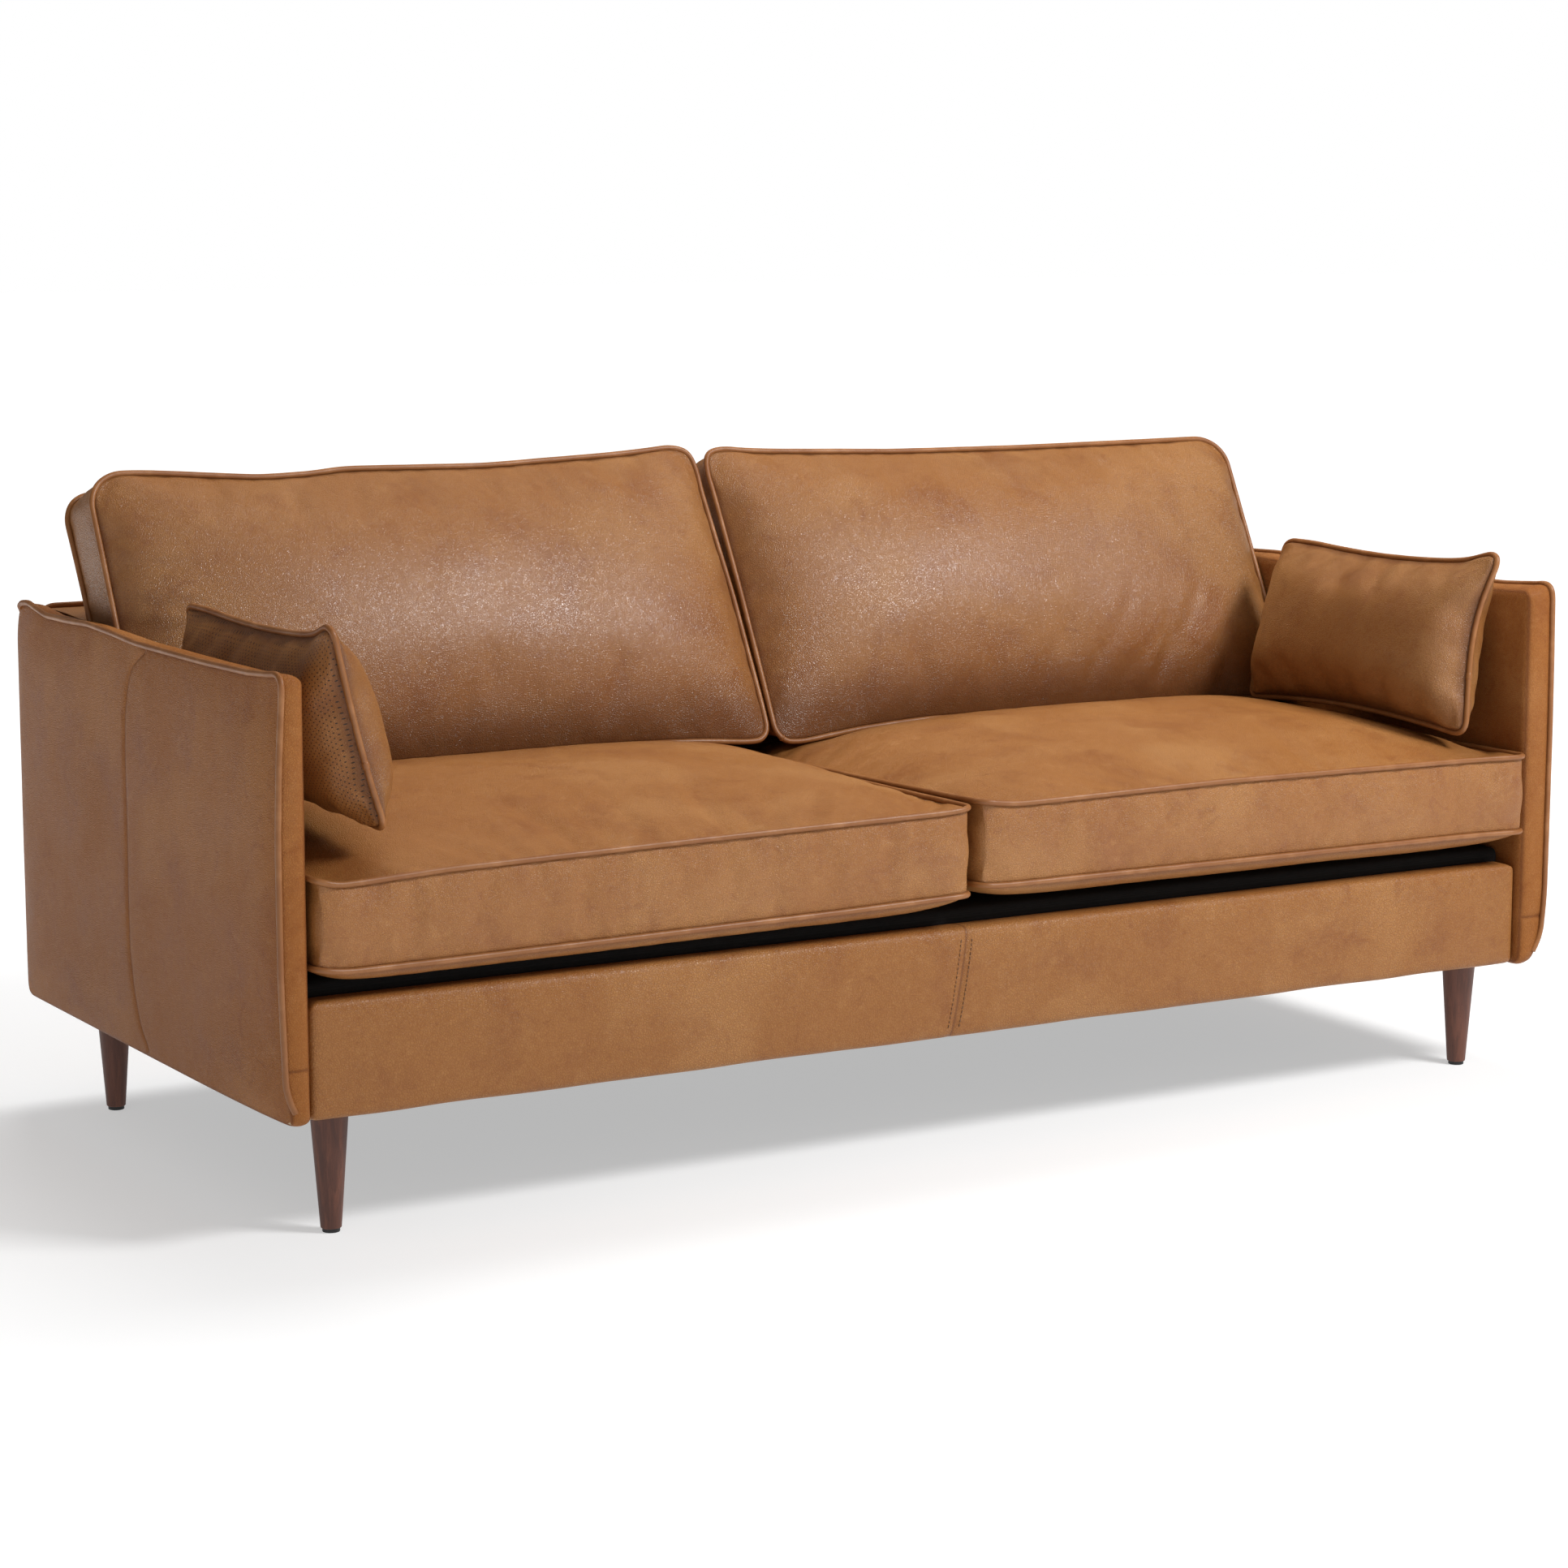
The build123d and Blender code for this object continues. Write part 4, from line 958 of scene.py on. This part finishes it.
# ---- front rail: one padded board across the front, seamed in its middle ----
RAIL_Z = (0.154, 0.300)
RAIL_N = (0.404, 0.441)
RAIL_HALF = 0.9386
RAIL_SEAM_X = -0.015
RAIL_SEAM_LEAN = 0.17
rail_middle = sum(RAIL_Z) / 2
us = grid_lines(2 * RAIL_HALF, (RAIL_SEAM_X,))
vs = grid_lines(RAIL_Z[1] - RAIL_Z[0], step=0.009)
shell = Shell(us, vs, *RAIL_N, (0, 0.2, 0.4, 0.6, 0.76, 0.9, 1), (0.008, 0.016))
rounded(shell, (us[0], vs[0], -FAR), (us[-1], vs[-1], RAIL_N[1]), 0.010)
shell.dome(shell.upper, 0.004, 12.0, 3.0)
x, z = shell.co[:, 0], shell.co[:, 1] + rail_middle
lean = (z - rail_middle) * RAIL_SEAM_LEAN
front = shell.co[:, 2] > 0.41
away = np.abs(x - RAIL_SEAM_X)
shell.co[:, 0] += lean * bell(x, RAIL_SEAM_X, 0.08) * front
shell.co[:, 2] += np.where(front, groove(away, 0.0022, 0.0045), 0)
shell.seam = np.where(front, bell(away, 0, 0.0026), 0)
undulate(shell, 41, 0.0022, 0.14)
shell.co[:, 1] += 0.0016 * soft_noise(shell.co * (1, 0, 0), 0.09, 43) * np.clip((0.18 - z) / 0.02, 0, 1)
place = frame_matrix((0, 0, rail_middle), (1, 0, 0), UP)
cover = link_shell("front_rail_sewn", shell, place, (HIDE_RAIL,))
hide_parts("front_rail_cover", "front_rail_padding")


def stitches(name, path, normal, length=0.0042, gap=0.0018, width=0.0007, body="frame"):
    """A row of thread stitches along a path, each a short rounded bar that dips at both ends."""
    path = np.asarray(path, dtype=float)
    steps = np.linalg.norm(np.diff(path, axis=0), axis=1)
    place = np.concatenate([[0], np.cumsum(steps)])
    co, faces = [], []
    for start in np.arange(0.002, place[-1] - length, length + gap):
        at = start + length * np.array([0, 0.2, 0.5, 0.8, 1])
        line = np.column_stack([np.interp(at, place, path[:, k]) for k in range(3)])
        line += np.array(normal) * np.array([-0.0004, 0.0003, 0.0005, 0.0003, -0.0004])[:, None]
        stitch, sides = tube_mesh(line, normal, width * np.array([0.5, 1, 1, 1, 0.5]), False, 6)
        faces += [tuple(i + sum(map(len, co)) for i in f) for f in sides]
        co.append(stitch)
    piece = link_mesh(name, np.concatenate(co), faces, (THREAD,), levels=0)
    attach(piece, body)


def surface_height(shell, u, v):
    """The height of a shell's upper panel at places u and v."""
    points = shell.co[shell.upper]
    heights = []
    for a, b in zip(u, v):
        near = (points[:, 0] - a) ** 2 + (points[:, 1] - b) ** 2
        nearest = np.argsort(near)[:4]
        weight = 1 / (near[nearest] + 1e-9)
        heights.append((points[nearest, 2] * weight).sum() / weight.sum())
    return np.array(heights)


for name, side in SIDES:
    v = np.linspace(-0.060, 0.062, 40)
    u = RAIL_SEAM_X + RAIL_SEAM_LEAN * v + side * 0.0085
    height = surface_height(shell, u, v)
    stitches(f"rail_stitches_{name}", np.column_stack([u, -height, v + rail_middle]), (0, -1, 0))

# ---- the deck under the seat cushions: a dark lined pad ----
DECK_TOP = 0.3172
pad_low, pad_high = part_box("seat_deck_pad")
deck = [(pad_low[k] + pad_high[k]) / 2 for k in (0, 1)]
us = grid_lines(pad_high[0] - pad_low[0] - 0.002, (0.0,), 0.02)
vs = grid_lines(pad_high[1] - pad_low[1] + 0.002, step=0.02)
shell = Shell(us, vs, pad_low[2], DECK_TOP, (0, 0.2, 0.45, 0.7, 0.87, 1), (0.006, 0.006))
rounded(shell, (-FAR, vs[0], -FAR), (FAR, vs[-1], DECK_TOP), 0.016)
pucker(shell, 53, 0.0006)
cover = link_shell("seat_deck_sewn", shell, Matrix.Translation((*deck, 0)), (LINING,))
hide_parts("seat_deck_cover", "seat_deck_pad")

# ---- the back: a cover over the ribs, an outer panel behind and piping between them ----
BACK_HALF = 0.938
BACK_Z = (0.156, 0.690)
BACK_SEAM_X = 0.312
BACK_PROFILE = (  # (y, z) from the deck up the slope and over the top
    (0.232, 0.318), (0.240, 0.372), (0.262, 0.52), (0.281, 0.645), (0.2865, 0.682), (0.297, 0.6885),
    (0.35, 0.691), (0.42, 0.691), (0.4505, 0.689),
)


def strip(name, profile, half, bow, thickness=0.0018):
    """A thin sewn cover: a profile in y and z drawn along x, with its own thickness. bow pushes it out by place."""
    profile = smoothed(profile, False, 3)
    run = np.gradient(profile, axis=0)
    out = np.stack([-run[:, 1], run[:, 0]], 1)
    out /= np.linalg.norm(out, axis=1)[:, None]
    xs = grid_lines(2 * half, (0.0,), 0.02)
    place = np.linspace(0, 1, len(profile))
    shift = bow(xs[:, None], place[None, :])
    co = []
    for inner in (0, 1):
        for x, push in zip(xs, shift):
            co += [(x, *p) for p in profile + out * (push[:, None] - inner * thickness)]
    quads, _ = closed_grid(len(xs), len(profile))
    piece = link_mesh(name, co, quads[:, ::-1], (HIDE,))
    seam = piece.data.attributes.new("seam", "FLOAT", "POINT")
    seam.data.foreach_set("value", np.tile(np.repeat(bell(xs, 0, 0.0028), len(profile)), 2))
    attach(piece, "frame")
    return piece


def slope_bow(x, place):
    """The cover over the back: full between its edges, held by the centre seam."""
    points = np.stack(np.broadcast_arrays(x, place * 0.6, 0.0), -1)
    swell = soft_noise(points.reshape(-1, 3), 0.12, 47)
    return 0.0016 * swell.reshape(len(x), -1) + groove(np.abs(x), 0.0022, 0.0045)


front_cover = strip("back_cover_sewn", BACK_PROFILE, BACK_HALF, slope_bow)
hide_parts("back_cover", "back_padding")

us = grid_lines(2 * BACK_HALF, (-BACK_SEAM_X, BACK_SEAM_X))
vs = grid_lines(BACK_Z[1] - BACK_Z[0])
shell = Shell(us, vs, 0.4505, 0.4535, (0, 1), (0.012, 0.018))
away = np.minimum(np.abs(shell.co[:, 0] - BACK_SEAM_X), np.abs(shell.co[:, 0] + BACK_SEAM_X))
inside = np.clip(shell.to_seam / 0.01, 0, 1)
dip = groove(away, 0.0022, 0.0042) * inside
for which in (shell.upper, shell.lower):
    shell.crown(which, 0.006 * dome(shell.s[which], shell.t[which], 6.0, 4.0) + dip[shell.upper])
shell.darken(0.8 * bell(away, 0, 0.003))
place = frame_matrix((0, 0, (BACK_Z[1] + BACK_Z[0]) / 2), (-1, 0, 0), UP)
panel = link_shell("outer_back_sewn", shell, place, (HIDE,))
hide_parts("outer_back_panel")
path = rim_path(shell, shell.upper_rim, 0.0018, 0.001)
cord = piping("back_piping_sewn", path, place, "frame", joint=0.55, seed=51)
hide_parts("back_piping")

# ---- finishes of the CAD parts ----
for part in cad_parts.values():
    for holder in part.material_slots:
        if holder.material:
            holder.material = SLOT_MATERIALS.get(holder.material.name.split(".")[0], holder.material)

# ---- floor, light and camera ----
scene = bpy.context.scene
mesh = bpy.data.meshes.new("floor")
mesh.from_pydata([(-40, -40, 0), (40, -40, 0), (40, 40, 0), (-40, 40, 0)], [], [(0, 1, 2, 3)])
floor = bpy.data.objects.new("floor", mesh)
scene.collection.objects.link(floor)
# painted light: the floor glows, less near the sofa and more further away, keeping it white and lightening the sofa's
# shadow
paint = Look("floor_white")
away = paint.add("VectorMath", {0: paint.place}, operation="LENGTH").outputs["Value"]
paint.fill(
    paint.shader,
    {
        "Base Color": (0.62, 0.62, 0.62, 1),
        "Roughness": 0.9,
        "Specular IOR Level": 0.0,
        "Emission Color": (1, 1, 1, 1),
        "Emission Strength": paint.map(away, 0.9, 4.0, 0.46, 1.0, True),
    },
)
mesh.materials.append(paint.material)

world = bpy.data.worlds.new("studio")
scene.world = world
world.use_nodes = True
air = Nodes(world.node_tree)
rays = air.add("LightPath").outputs["Is Camera Ray"]
air.fill(air.tree.nodes["Background"], {"Color": (1, 1, 1, 1), "Strength": air.map(rays, 0.0, 1.0, 0.15, 1.0)})


def lamp(name, kind, towards, power):
    """A lamp that shines from a direction."""
    light = bpy.data.lights.new(name, kind)
    light.energy = power
    holder = bpy.data.objects.new(name, light)
    holder.rotation_euler = Vector(towards).to_track_quat("Z", "Y").to_euler()
    scene.collection.objects.link(holder)
    return light, holder


def softbox(name, place, aim, size, power, glossy=True):
    """A large soft lamp aimed at a point, not itself seen."""
    light, holder = lamp(name, "AREA", Vector(place) - Vector(aim), power)
    light.shape = "RECTANGLE"
    light.size, light.size_y = size
    holder.location = place
    holder.visible_camera = False
    holder.visible_glossy = glossy


softbox("key", (1.75, -2.8, 3.2), (0.1, 0, 0.5), (1.3, 1.0), 152)
softbox("overhead", (0.5, 1.1, 3.2), (0.1, -0.1, 0.4), (2.4, 1.6), 84, glossy=False)
fill, _ = lamp("fill", "SUN", (-0.5, -0.75, 0.5), 0.25)
fill.angle = math.radians(60)

camera = bpy.data.objects.new("camera", bpy.data.cameras.new("camera"))
scene.collection.objects.link(camera)
camera.location = CAMERA_PLACE
camera.rotation_euler = (math.pi / 2 - CAMERA_DOWN, 0, -CAMERA_YAW)
camera.data.lens = CAMERA_LENS
camera.data.sensor_width = 36.0
scene.camera = camera
scene.view_settings.view_transform = "Standard"
